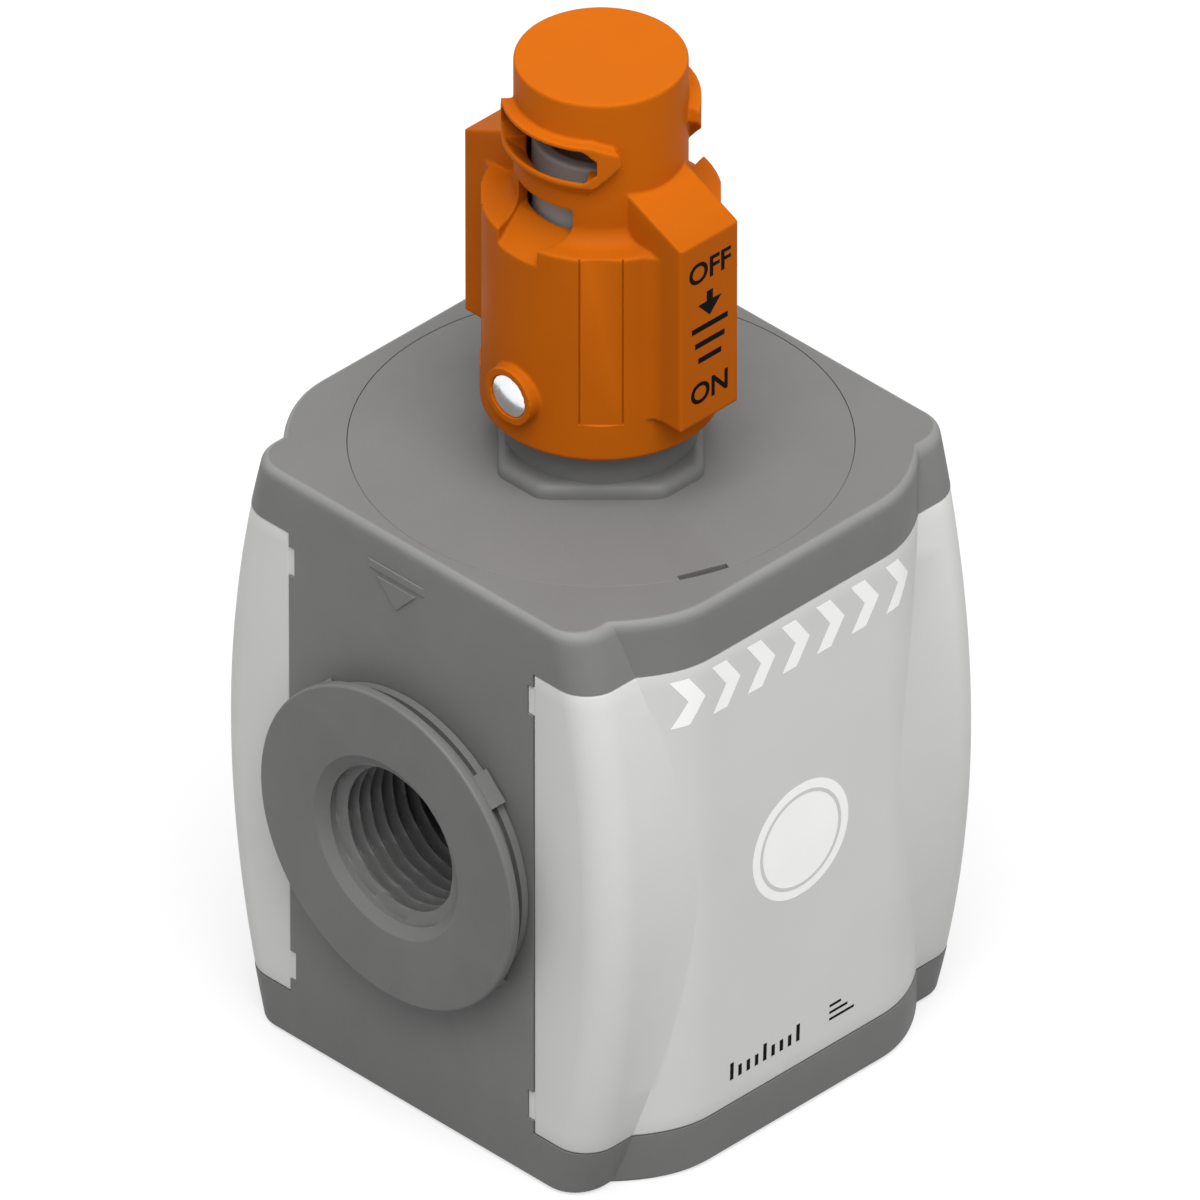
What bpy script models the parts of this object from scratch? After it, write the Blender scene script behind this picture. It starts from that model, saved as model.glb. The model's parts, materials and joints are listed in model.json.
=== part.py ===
"""Pneumatic shut-off valve with a lockable knob, modelled for Blender 4.5.

Metres, +Z up. The origin is the middle of the underside. The inlet faces -X, the outlet
faces +X and the front cover faces -Y. The valve is drawn shut: the knob stands up, the
plunger is clear of the poppet and the poppet is against its seat.
"""

import math

import bmesh
import bpy
from mathutils import Matrix, Vector

MM = 0.001

# General
FIT = 0.3 * MM  # gap between two pieces that seat on each other
PAST = 1.0 * MM  # how far a cutter reaches past the wall that it cuts
ROUND_STEPS = 32  # facets round a large turned piece
SMALL_STEPS = 20  # facets round a small one
FILLET_STEPS = 4
EDGE_STEPS = 2
MERGE = 1e-6
SMOOTH_ANGLE = math.radians(35)

# Body: a block with flat sides, bowed panels front and rear, and barrelled corner posts
BODY_HEIGHT = 79.0 * MM
BODY_HALF_X = 30.9 * MM
PANEL_PROUD = 0.8 * MM  # how much deeper than wide the block is, at the top and the bottom
PANEL_BELLY = 0.8 * MM  # how much further the panel stands out at mid height
PANEL_FLAT = 14.0 * MM  # half width of the flat middle of a panel
PANEL_BOW = 12.0 * MM  # radius by which the panel falls away beside its flat middle
POST_PROUD = 0.5 * MM  # how much further the corner posts stand out at mid height
POST_FALL = 5.5 * MM  # how much of that the posts lose towards the top and the bottom
POST_CORNER = 4.5 * MM
TOP_FILLET = 1.0 * MM
FOOT_CHAMFER = 0.5 * MM
BODY_LEVELS = 8
BOW_POINTS = 4
CORNER_POINTS = 4

# Covers let into the front and the rear
FOOT_BAND = 6.6 * MM  # dark body left showing under a cover
CAP_BAND = 7.6 * MM  # dark body left showing over a cover
COVER_WALL = 2.2 * MM
COVER_WRAP = 12.3 * MM  # how far a cover reaches round the posts onto the flat sides
TAB_REACH = 0.9 * MM
TAB_LENGTH = 3.9 * MM
TAB_FROM_END = 1.9 * MM
TAB_RECESS = 0.2 * MM

# Port flanges, each with a threaded sleeve that goes into the body
PORT_HEIGHT = 39.0 * MM
FLANGE_PROUD = 4.1 * MM  # how far a flange stands out from the flat side
FLANGE_RADIUS = 20.6 * MM
FLANGE_THICK = 2.0 * MM
FLANGE_CHAMFER = 0.7 * MM
CLAMP_GROOVE_RADIUS = 18.5 * MM
LUG_REACH = 19.9 * MM
LUG_WIDTH = 3.5 * MM
SLEEVE_RADIUS = 14.0 * MM
SLEEVE_TO_BORE = 7.5 * MM  # end of a sleeve to the wall of the valve bore
THREAD_RADIUS = 10.48 * MM  # major radius of a half-inch pipe thread
MOUTH_RADIUS = 11.6 * MM
PORT_WELL_RADIUS = 9.0 * MM
PORT_WELL_DEPTH = 2.6 * MM

# Seals
SEAL_SECTION = 1.8 * MM
SEAL_POINTS = 6
SEAL_STEPS = 14

# Valve bore, seat and the passages that lead to it
BORE_RADIUS = 12.5 * MM
LOWER_BORE_RADIUS = 11.5 * MM
SEAT_BELOW_PORT = 4.5 * MM  # port axis down to the underside of the seat
SEAT_THICK = 5.5 * MM
SEAT_HOLE = 7.5 * MM
PASSAGE_RADIUS = 4.0 * MM
PASSAGE_OFFSET = 5.0 * MM  # port axis to the mouth of a passage
PASSAGE_RISE = 9.0 * MM
RETAINER_WALL = 1.7 * MM
RETAINER_WINDOW_WIDTH = 9.0 * MM
RETAINER_RIM = 4.5 * MM

# Exhaust plug in the base
PLUG_INSET = 0.5 * MM
PLUG_HEAD = 3.2 * MM
PLUG_HEAD_RADIUS = 14.7 * MM
PLUG_TOP = 15.0 * MM
EXHAUST_RADIUS = 6.58 * MM  # major radius of a quarter-inch pipe thread
EXHAUST_DEPTH = 7.5 * MM

# Poppet
POPPET_LIFT = 3.4 * MM
POPPET_RADIUS = 10.4 * MM
POPPET_THICK = 4.9 * MM
POPPET_TUBE = 5.0 * MM
POPPET_HOLE = 3.0 * MM
POPPET_HUB_RISE = 1.5 * MM  # how far the hub stands up into the seat
POPPET_TAIL = 3.7 * MM  # plug top down to the end of the tube
POPPET_SEAL_INNER = 7.0 * MM
POPPET_SEAL_OUTER = 9.4 * MM
POPPET_SEAL_THICK = 1.8 * MM

# Plunger
PLUNGER_STROKE = 4.6 * MM
PLUNGER_RADIUS = 3.5 * MM
PLUNGER_HEAD_RADIUS = 6.0 * MM
PLUNGER_HEAD = 4.4 * MM
PLUNGER_PAD_RADIUS = 4.7 * MM
PLUNGER_PAD = 2.5 * MM
PLUNGER_PAD_PROUD = 1.1 * MM

# Bonnet: the round lid let into the top of the body
BONNET_WALL = 1.7 * MM  # least wall left round the lid
BONNET_THICK = 5.7 * MM
BONNET_BOSS = 11.3 * MM
PRY_SLOT_ANGLE = math.radians(249)
PRY_SLOT_LENGTH = 6.2 * MM
PRY_SLOT_WIDTH = 0.9 * MM
PRY_SLOT_DEPTH = 1.6 * MM

# Guide column with its octagonal foot and the two cam slots
FOOT_FLAT = 13.5 * MM  # axis to the faces that look along X and Y
FOOT_DIAGONAL = 11.9 * MM  # axis to the faces between them
FOOT_THICK = 1.5 * MM
FOOT_BEVEL = 0.4 * MM
COLUMN_RADIUS = 11.2 * MM
COLUMN_BORE = 8.2 * MM
COLUMN_SPIGOT = 3.7 * MM
COLUMN_BARREL_TOP = 20.0 * MM  # height over the top of the body
COLUMN_NECK_RADIUS = 8.0 * MM
COLUMN_TOP = 43.3 * MM  # height over the top of the body
CAM_TURN = math.radians(90)
CAM_STEPS = 10
CAM_END_STEPS = 3
CAM_END_FROM = math.radians(11)  # where the first ring of a slot's round end lies on its arc

# Knob, with heights measured from its lower rim
KNOB_CLEAR = 6.6 * MM  # top of the body to the lower rim of the knob
SKIRT_RADIUS = 13.95 * MM
SKIRT_HEIGHT = 28.2 * MM
CROWN_RADIUS = 10.05 * MM
KNOB_HEIGHT = 47.1 * MM
KNOB_EDGE = 0.5 * MM
SHOULDER_FILLET = 2.0 * MM
SKIRT_BORE = 11.8 * MM
SKIRT_BORE_DEPTH = 21.4 * MM
CROWN_BORE = 8.6 * MM
CROWN_ROOF = 5.5 * MM
PAD_FACE_Y = 17.6 * MM
PAD_HALF_WIDTH = 4.7 * MM
PAD_FILLET = 2.2 * MM
PAD_FROM = 5.4 * MM
PAD_TOP_OUTER = 30.5 * MM
PAD_TOP_INNER = 34.1 * MM
PAD_TOP_INNER_Y = 9.7 * MM
PAD_EDGE = 0.5 * MM
FLUTE_WIDTH = 5.2 * MM
FLUTE_DEPTH = 0.45 * MM
FLUTE_FROM = 4.9 * MM
BROW_RADIUS = 11.5 * MM  # raised surround of the padlock window
BROW_LOW = 36.2 * MM
BROW_HIGH = 42.0 * MM
BROW_FLAT_ANGLE = math.radians(40)
BROW_POINT_ANGLE = math.radians(57)
LOCK_LOW = 37.0 * MM
LOCK_HIGH = 41.4 * MM
LOCK_HALF_WIDTH = 7.7 * MM
LOCK_CHAMFER = 1.3 * MM
SIGHT_HALF_WIDTH = 4.2 * MM
SIGHT_HIGH = 32.1 * MM
SIGHT_INNER = 28.7 * MM  # height of the channel's floor at the crown
SIGHT_OUTER = 27.6 * MM  # and at the edge of the skirt
PIN_HEIGHT = 7.0 * MM
PIN_RADIUS = 2.4 * MM
PIN_BOSS_RADIUS = 3.9 * MM
PIN_BOSS_REACH = 15.2 * MM
PIN_INSET = 0.2 * MM
PIN_INNER_X = 3.0 * MM

# Crosshead, which the two pins carry inside the column
CROSSHEAD_BELOW_PIN = 3.4 * MM
CROSSHEAD_ABOVE_PIN = 3.4 * MM

# Springs
WIRE = 1.2 * MM
SPRING_TURNS = 4.5
SPRING_POINTS = 10
POPPET_SPRING_RADIUS = 8.0 * MM
PLUNGER_SPRING_RADIUS = 6.0 * MM

# Levels and faces that follow from the sizes above
PANEL_HALF_Y = BODY_HALF_X + PANEL_PROUD
POST_HALF_Y = PANEL_HALF_Y + POST_PROUD
COVER_EDGE_Y = POST_HALF_Y - COVER_WRAP
PORT_FACE_X = BODY_HALF_X + FLANGE_PROUD
SLEEVE_END = BORE_RADIUS + SLEEVE_TO_BORE
COVER_LOW = FOOT_BAND
COVER_HIGH = BODY_HEIGHT - CAP_BAND
SEAT_LOW = PORT_HEIGHT - SEAT_BELOW_PORT
SEAT_HIGH = SEAT_LOW + SEAT_THICK
BONNET_RADIUS = BODY_HALF_X - BONNET_WALL
BONNET_LOW = BODY_HEIGHT - BONNET_THICK
BOSS_LOW = BONNET_LOW - BONNET_BOSS
POPPET_HIGH = SEAT_LOW - 2 * FIT
POPPET_LOW = POPPET_HIGH - POPPET_THICK
HUB_TOP = SEAT_LOW + POPPET_HUB_RISE
PAD_LOW = HUB_TOP + PLUNGER_STROKE - POPPET_LIFT + FIT
HEAD_LOW = PAD_LOW + PLUNGER_PAD_PROUD
KNOB_LOW = BODY_HEIGHT + KNOB_CLEAR
KNOB_TOP = KNOB_LOW + KNOB_HEIGHT
SHOULDER = KNOB_LOW + SKIRT_HEIGHT
PIN_Z = KNOB_LOW + PIN_HEIGHT
CROSSHEAD_LOW = PIN_Z - CROSSHEAD_BELOW_PIN
CROSSHEAD_HIGH = PIN_Z + CROSSHEAD_ABOVE_PIN
SPIGOT_LOW = BODY_HEIGHT - COLUMN_SPIGOT
PLUNGER_TOP = CROSSHEAD_LOW - FIT
SEAL_GROOVE = SEAL_SECTION + 2 * FIT  # width of a groove, and its depth from the mating wall

# Finishes: colour, roughness, metallic
DARK_POLYMER = ((0.150, 0.150, 0.150), 0.55, 0.0)
TOP_POLYMER = ((0.270, 0.270, 0.265), 0.55, 0.0)
LIGHT_POLYMER = ((0.520, 0.520, 0.510), 0.45, 0.0)
ORANGE_POLYMER = ((0.420, 0.100, 0.010), 0.45, 0.0)
COLUMN_POLYMER = ((0.105, 0.105, 0.107), 0.50, 0.0)
ZINC = ((0.145, 0.145, 0.143), 0.45, 0.6)
BRASS = ((0.720, 0.520, 0.220), 0.30, 1.0)
STEEL = ((0.620, 0.620, 0.630), 0.25, 1.0)
RUBBER = ((0.020, 0.020, 0.020), 0.80, 0.0)


def clear_scene():
    for obj in list(bpy.data.objects):
        bpy.data.objects.remove(obj, do_unlink=True)


def new_collection(name):
    collection = bpy.data.collections.new(name)
    bpy.context.scene.collection.children.link(collection)
    return collection


clear_scene()
PARTS = new_collection("Shut-off valve")
CUTTERS = new_collection("Cutters")


def add_object(name, data, collection):
    obj = bpy.data.objects.new(name, data)
    collection.objects.link(obj)
    if collection is CUTTERS:
        obj.hide_render = True
        obj.display_type = "WIRE"
    return obj


def from_bmesh(name, shape, collection):
    """The shape as an object, with its faces turned outwards."""
    bmesh.ops.recalc_face_normals(shape, faces=shape.faces)
    mesh = bpy.data.meshes.new(name)
    shape.to_mesh(mesh)
    shape.free()
    return add_object(name, mesh, collection)


def loft(name, rings, collection):
    """A skin over rings that have equally many points, closed at both ends."""
    shape = bmesh.new()
    loops = [[shape.verts.new(point) for point in ring] for ring in rings]
    for lower, upper in zip(loops, loops[1:]):
        for i in range(len(lower)):
            j = (i + 1) % len(lower)
            shape.faces.new((lower[i], lower[j], upper[j], upper[i]))
    shape.faces.new(loops[0][::-1])
    shape.faces.new(loops[-1])
    return from_bmesh(name, shape, collection)


def box(name, low, high, collection, turn=0.0):
    """A box between two corners, turned about the Z axis afterwards."""
    low, high = Vector(low), Vector(high)
    shape = bmesh.new()
    stretch = Matrix.Diagonal((*(high - low), 1))
    place = Matrix.Rotation(turn, 4, "Z") @ Matrix.Translation((low + high) / 2)
    bmesh.ops.create_cube(shape, size=1, matrix=place @ stretch)
    return from_bmesh(name, shape, collection)


def rod(name, start, end, radius, collection, steps=SMALL_STEPS):
    """A cylinder from one point to another."""
    start, end = Vector(start), Vector(end)
    along = end - start
    place = Matrix.Translation((start + end) / 2) @ along.to_track_quat("Z", "Y").to_matrix().to_4x4()
    shape = bmesh.new()
    bmesh.ops.create_cone(
        shape, cap_ends=True, segments=steps, radius1=radius, radius2=radius, depth=along.length, matrix=place
    )
    return from_bmesh(name, shape, collection)


def turned(name, profile, collection, steps=ROUND_STEPS):
    """A profile of (radius, height) points turned about Z.

    The points run down the outer side and back up the inner side. A profile that starts on
    the axis also ends there; any other is closed into a ring.
    """
    mesh = bpy.data.meshes.new(name)
    count = len(profile)
    edges = [(i, i + 1) for i in range(count - 1)]
    if profile[0][0] > 0:
        edges.append((count - 1, 0))
    mesh.from_pydata([(radius, 0, height) for radius, height in profile], edges, [])
    obj = add_object(name, mesh, collection)
    screw = obj.modifiers.new("Turn", "SCREW")
    screw.axis = "Z"
    screw.steps = steps
    screw.render_steps = steps
    screw.use_merge_vertices = True
    screw.merge_threshold = MERGE
    screw.use_smooth_shade = True
    return obj


def combine(obj, tool, operation):
    boolean = obj.modifiers.new(tool.name, "BOOLEAN")
    boolean.operation = operation
    boolean.solver = "EXACT"
    boolean.object = tool
    return obj


def join(obj, *tools):
    for tool in tools:
        combine(obj, tool, "UNION")


def cut(obj, *tools):
    for tool in tools:
        combine(obj, tool, "DIFFERENCE")


def arc(centre, radius, start, end, count):
    """Points on an arc, both ends included, with angles in degrees."""
    points = []
    for i in range(count + 1):
        angle = math.radians(start + (end - start) * i / count)
        points.append((centre[0] + radius * math.cos(angle), centre[1] + radius * math.sin(angle)))
    return points


def seal_ring(name, middle_radius, height):
    """A ring of round rubber cord."""
    circle = arc((middle_radius, height), SEAL_SECTION / 2, 90, -270, SEAL_POINTS)[:-1]
    ring = turned(name, circle, PARTS, SEAL_STEPS)
    return dress(ring, RUBBER)


def dress(obj, finish):
    """Gives the piece a material of its own."""
    colour, roughness, metallic = finish
    material = bpy.data.materials.new(obj.name + " finish")
    material.use_nodes = True
    material.diffuse_color = (*colour, 1)
    shader = material.node_tree.nodes["Principled BSDF"]
    shader.inputs["Base Color"].default_value = (*colour, 1)
    shader.inputs["Roughness"].default_value = roughness
    shader.inputs["Metallic"].default_value = metallic
    obj.data.materials.append(material)
    if obj.type == "MESH" and obj.data.polygons:
        obj.data.shade_smooth()
        obj.data.set_sharp_from_angle(angle=SMOOTH_ANGLE)
    return obj


def post_half_y(z):
    """Half depth over the corner posts at a height."""
    off_middle = (z - BODY_HEIGHT / 2) / (BODY_HEIGHT / 2)
    return POST_HALF_Y - POST_FALL * off_middle**2


def panel_half_y(z):
    """Half depth over the middle of the panels at a height."""
    off_middle = (z - BODY_HEIGHT / 2) / (BODY_HEIGHT / 2)
    return PANEL_HALF_Y + PANEL_BELLY * (1 - off_middle**2)


def quarter_outline(z, inset):
    """Plan of the body for x and y over 0, from the flat side round to the flat of the panel."""
    post = post_half_y(z)
    corner = (BODY_HALF_X - POST_CORNER, post - POST_CORNER)
    points = arc(corner, POST_CORNER - inset, 0, 90, CORNER_POINTS)
    panel = panel_half_y(z)
    crease = PANEL_FLAT + math.sqrt(2 * PANEL_BOW * max(panel - post, 0))
    for i in range(BOW_POINTS + 1):
        x = crease + (PANEL_FLAT - crease) * i / BOW_POINTS
        points.append((x, panel - (x - PANEL_FLAT) ** 2 / (2 * PANEL_BOW) - inset))
    return points


def body_ring(z, inset=0.0):
    """The whole plan of the body at a height."""
    quarter = quarter_outline(z, inset)
    ring = []
    for side_x, side_y in ((1, 1), (-1, 1), (-1, -1), (1, -1)):
        points = quarter if side_x == side_y else quarter[::-1]
        ring += [(side_x * x, side_y * y, z) for x, y in points]
    return ring


def cover_ring(z, outer_inset, inner_inset, edge_y, side_y):
    """Plan of a cover at a height: the body's outline and the same line further in."""
    ring = []
    for inset, order in ((outer_inset, 1), (inner_inset, -1)):
        half = [(BODY_HALF_X - inset, edge_y)] + quarter_outline(z, inset)
        path = half + [(-x, y) for x, y in half[::-1]]
        ring += [(x, side_y * y, z) for x, y in path[::order]]
    return ring


def levels(low, high, count):
    return [low + (high - low) * i / count for i in range(count + 1)]


def cover_shell(name, side_y, outer_inset, inner_inset, grow, collection):
    """A cover, or with grow its pocket, which is larger all round by that much."""
    heights = levels(COVER_LOW - grow, COVER_HIGH + grow, BODY_LEVELS)
    edge_y = COVER_EDGE_Y - grow
    rings = [cover_ring(z, outer_inset, inner_inset, edge_y, side_y) for z in heights]
    return loft(name, rings, collection)


def tab_boxes(name, side_y, grow, collection):
    """The four small tabs by which a cover's side edges hook into the body."""
    tabs = []
    deep = COVER_WALL - TAB_RECESS
    for side_x in (-1, 1):
        for low in (COVER_LOW + TAB_FROM_END, COVER_HIGH - TAB_FROM_END - TAB_LENGTH):
            x_outer = BODY_HALF_X + (PAST if grow else -TAB_RECESS)
            x_inner = BODY_HALF_X - deep - grow
            y_inner = COVER_EDGE_Y - TAB_REACH - grow
            y_outer = COVER_EDGE_Y + TAB_REACH
            corner_low = (min(side_x * x_inner, side_x * x_outer), min(side_y * y_inner, side_y * y_outer), low - grow)
            corner_high = (
                max(side_x * x_inner, side_x * x_outer),
                max(side_y * y_inner, side_y * y_outer),
                low + TAB_LENGTH + grow,
            )
            tabs.append(box(f"{name}_{len(tabs)}", corner_low, corner_high, collection))
    return tabs


def make_body():
    rings = [body_ring(0, FOOT_CHAMFER)]
    rings += [body_ring(z) for z in levels(FOOT_CHAMFER, BODY_HEIGHT - TOP_FILLET, BODY_LEVELS)]
    for inset, z in arc((TOP_FILLET, BODY_HEIGHT - TOP_FILLET), TOP_FILLET, 180, 90, FILLET_STEPS - 1)[1:]:
        rings.append(body_ring(z, inset))
    body = loft("body", rings, PARTS)

    for side_y, side in ((-1, "front"), (1, "rear")):
        pocket = cover_shell(f"{side}_pocket", side_y, -PAST, COVER_WALL + FIT, FIT, CUTTERS)
        cut(body, pocket, *tab_boxes(f"{side}_notch", side_y, FIT, CUTTERS))

    # One stepped bore from the lid's pocket down to the counterbore of the exhaust plug.
    bore_profile = [
        (0, BODY_HEIGHT + PAST),
        (BONNET_RADIUS + FIT, BODY_HEIGHT + PAST),
        (BONNET_RADIUS + FIT, BONNET_LOW - FIT),
        (BORE_RADIUS, BONNET_LOW - FIT),
        (BORE_RADIUS, SEAT_LOW - FIT),
        (LOWER_BORE_RADIUS, SEAT_LOW - FIT),
        (LOWER_BORE_RADIUS, PLUG_INSET + PLUG_HEAD + FIT),
        (PLUG_HEAD_RADIUS + FIT, PLUG_INSET + PLUG_HEAD + FIT),
        (PLUG_HEAD_RADIUS + FIT, -PAST),
        (0, -PAST),
    ]
    cut(body, turned("valve_bore", bore_profile, CUTTERS))

    sleeve_end = SLEEVE_END - FIT
    well_end = sleeve_end - PORT_WELL_DEPTH
    port_profile = [
        (0, BODY_HALF_X + PAST),
        (SLEEVE_RADIUS + FIT, BODY_HALF_X + PAST),
        (SLEEVE_RADIUS + FIT, sleeve_end),
        (PORT_WELL_RADIUS, sleeve_end),
        (PORT_WELL_RADIUS, well_end),
        (0, well_end),
    ]
    for side_x, port in ((-1, "inlet"), (1, "outlet")):
        well = turned(f"{port}_well", port_profile, CUTTERS, SMALL_STEPS)
        lay_along_x(well, side_x)
        start = (side_x * (well_end + FIT), 0, PORT_HEIGHT + side_x * PASSAGE_OFFSET)
        bore = LOWER_BORE_RADIUS if side_x < 0 else BORE_RADIUS
        end = (side_x * (bore - PAST), 0, PORT_HEIGHT + side_x * (PASSAGE_OFFSET + PASSAGE_RISE))
        cut(body, well, rod(f"{port}_passage", start, end, PASSAGE_RADIUS, CUTTERS))
    return dress(body, DARK_POLYMER)


def lay_along_x(obj, side_x):
    """Turns a piece that was drawn along Z so that it points along +X or -X at the ports."""
    obj.rotation_euler = (0, side_x * math.pi / 2, 0)
    obj.location = (0, 0, PORT_HEIGHT)


def make_cover(name, side_y):
    cover = cover_shell(name, side_y, 0, COVER_WALL, 0, PARTS)
    join(cover, *tab_boxes(f"{name}_tab", side_y, 0, CUTTERS))
    return dress(cover, LIGHT_POLYMER)


def make_flange(port, side_x):
    """Coupling flange and threaded sleeve in one piece, with the seal in the sleeve's groove."""
    groove_floor = SLEEVE_RADIUS + FIT - SEAL_GROOVE
    groove_low = SLEEVE_END + SEAL_SECTION
    disc_back = PORT_FACE_X - FLANGE_THICK
    neck_back = BODY_HALF_X + FIT
    mouth_depth = MOUTH_RADIUS - THREAD_RADIUS
    profile = [
        (FLANGE_RADIUS - FLANGE_CHAMFER, PORT_FACE_X),
        (FLANGE_RADIUS, PORT_FACE_X - FLANGE_CHAMFER),
        (FLANGE_RADIUS, disc_back),
        (CLAMP_GROOVE_RADIUS, disc_back),
        (CLAMP_GROOVE_RADIUS, neck_back),
        (SLEEVE_RADIUS, neck_back),
        (SLEEVE_RADIUS, groove_low + SEAL_GROOVE),
        (groove_floor, groove_low + SEAL_GROOVE),
        (groove_floor, groove_low),
        (SLEEVE_RADIUS, groove_low),
        (SLEEVE_RADIUS, SLEEVE_END),
        (THREAD_RADIUS, SLEEVE_END),
        (THREAD_RADIUS, PORT_FACE_X - mouth_depth),
        (MOUTH_RADIUS, PORT_FACE_X),
    ]
    flange = turned(f"{port}_flange", profile, PARTS)
    lay_along_x(flange, side_x)
    for i in range(2):
        lug = box(
            f"{port}_lugs_{i}",
            (-LUG_REACH, -LUG_WIDTH / 2, neck_back + FIT),
            (LUG_REACH, LUG_WIDTH / 2, disc_back + FLANGE_THICK / 2),
            CUTTERS,
            math.radians(45 + 90 * i),
        )
        core = rod(
            f"{port}_lug_core_{i}", (0, 0, neck_back - PAST), (0, 0, PORT_FACE_X + PAST), SLEEVE_RADIUS, CUTTERS
        )
        cut(lug, core)
        lay_along_x(lug, side_x)
        lay_along_x(core, side_x)
        join(flange, lug)
    dress(flange, ZINC)
    seal = seal_ring(f"{port}_flange_seal", SLEEVE_RADIUS - SEAL_SECTION / 2, groove_low + SEAL_GROOVE / 2)
    lay_along_x(seal, side_x)
    return flange


def make_bonnet():
    """Round lid with the guide boss for the plunger under it and the recess for the column on top."""
    groove_low = BOSS_LOW + SEAL_SECTION
    groove_floor = BORE_RADIUS - SEAL_GROOVE
    rod_groove = BONNET_LOW - SEAL_GROOVE
    rod_groove_floor = PLUNGER_RADIUS + SEAL_GROOVE
    recess = SPIGOT_LOW - FIT
    boss = BORE_RADIUS - FIT
    profile = [
        (BONNET_RADIUS - FIT, BODY_HEIGHT),
        (BONNET_RADIUS, BODY_HEIGHT - FIT),
        (BONNET_RADIUS, BONNET_LOW),
        (boss, BONNET_LOW),
        (boss, groove_low + SEAL_GROOVE),
        (groove_floor, groove_low + SEAL_GROOVE),
        (groove_floor, groove_low),
        (boss, groove_low),
        (boss, BOSS_LOW),
        (PLUNGER_RADIUS + FIT, BOSS_LOW),
        (PLUNGER_RADIUS + FIT, rod_groove),
        (rod_groove_floor, rod_groove),
        (rod_groove_floor, rod_groove + SEAL_GROOVE),
        (PLUNGER_RADIUS + FIT, rod_groove + SEAL_GROOVE),
        (PLUNGER_RADIUS + FIT, recess),
        (COLUMN_RADIUS + FIT, recess),
        (COLUMN_RADIUS + FIT, BODY_HEIGHT),
    ]
    bonnet = turned("bonnet", profile, PARTS)
    slot = box(
        "pry_slot",
        (BONNET_RADIUS - PRY_SLOT_WIDTH, -PRY_SLOT_LENGTH / 2, BODY_HEIGHT - PRY_SLOT_DEPTH),
        (BONNET_RADIUS + PAST, PRY_SLOT_LENGTH / 2, BODY_HEIGHT + PAST),
        CUTTERS,
        PRY_SLOT_ANGLE,
    )
    cut(bonnet, slot)
    dress(bonnet, TOP_POLYMER)
    seal_ring("bonnet_seal", BORE_RADIUS - FIT - SEAL_SECTION / 2, groove_low + SEAL_GROOVE / 2)
    seal_ring("rod_seal", PLUNGER_RADIUS + FIT + SEAL_SECTION / 2, rod_groove + SEAL_GROOVE / 2)
    return bonnet


def cam_slot(name, start_angle):
    """Cutter for one cam slot: it drops by the stroke while it runs a quarter turn clockwise."""
    reach = PIN_RADIUS + FIT
    end_turn = math.asin(reach / COLUMN_BORE)
    half = reach / math.cos(math.atan2(PLUNGER_STROKE, COLUMN_BORE * CAM_TURN))
    # The round ends stop just short of a point, so that every ring has four corners.
    end_arc = levels(CAM_END_FROM, math.pi / 2, CAM_END_STEPS)[:-1]
    end = [-end_turn * math.cos(angle) for angle in end_arc]
    stations = end + levels(0, CAM_TURN, CAM_STEPS) + [CAM_TURN - turn for turn in end[::-1]]
    rings = []
    for turn in stations:
        beyond = max(-turn, turn - CAM_TURN, 0)
        tall = half * math.sqrt(1 - (beyond / end_turn) ** 2)
        middle = PIN_Z - PLUNGER_STROKE * min(max(turn / CAM_TURN, 0), 1)
        angle = start_angle - turn
        ring = []
        for radius, z in (
            (COLUMN_BORE - PAST, middle - tall),
            (COLUMN_RADIUS + PAST, middle - tall),
            (COLUMN_RADIUS + PAST, middle + tall),
            (COLUMN_BORE - PAST, middle + tall),
        ):
            ring.append((radius * math.cos(angle), radius * math.sin(angle), z))
        rings.append(ring)
    return loft(name, rings, CUTTERS)


def foot_ring(z, inset):
    """The octagon at a height. Each corner is where a face along X or Y meets a diagonal face."""
    flat = FOOT_FLAT - inset
    short = (FOOT_DIAGONAL - inset) * math.sqrt(2) - flat
    ring = []
    for quarter in range(4):
        turn = Matrix.Rotation(quarter * math.pi / 2, 2)
        ring += [turn @ Vector((flat, -short)), turn @ Vector((flat, short))]
    return [(x, y, z) for x, y in ring]


def make_column():
    """Guide column: a barrel with two cam slots, a neck that the knob slides on and an octagonal foot."""
    foot_low = BODY_HEIGHT + FIT
    barrel_top = BODY_HEIGHT + COLUMN_BARREL_TOP
    cone = COLUMN_RADIUS - COLUMN_NECK_RADIUS
    top = BODY_HEIGHT + COLUMN_TOP
    bore_top = CROSSHEAD_HIGH + FIT
    profile = [
        (0, top),
        (COLUMN_NECK_RADIUS - FIT, top),
        (COLUMN_NECK_RADIUS, top - FIT),
        (COLUMN_NECK_RADIUS, barrel_top + cone),
        (COLUMN_RADIUS, barrel_top),
        (COLUMN_RADIUS, SPIGOT_LOW),
        (COLUMN_BORE, SPIGOT_LOW),
        (COLUMN_BORE, bore_top),
        (0, bore_top),
    ]
    column = turned("guide_column", profile, PARTS)
    foot_top = foot_low + FOOT_THICK
    foot_levels = ((foot_low, 0), (foot_top - FOOT_BEVEL, 0), (foot_top, FOOT_BEVEL))
    foot = loft("column_foot", [foot_ring(z, inset) for z, inset in foot_levels], CUTTERS)
    foot_hole = rod(
        "foot_hole",
        (0, 0, foot_low - PAST),
        (0, 0, foot_top + PAST),
        (COLUMN_BORE + COLUMN_RADIUS) / 2,
        CUTTERS,
    )
    cut(foot, foot_hole)
    join(column, foot)
    cut(column, cam_slot("cam_slot_right", 0.0), cam_slot("cam_slot_left", math.pi))
    return dress(column, COLUMN_POLYMER)


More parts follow.
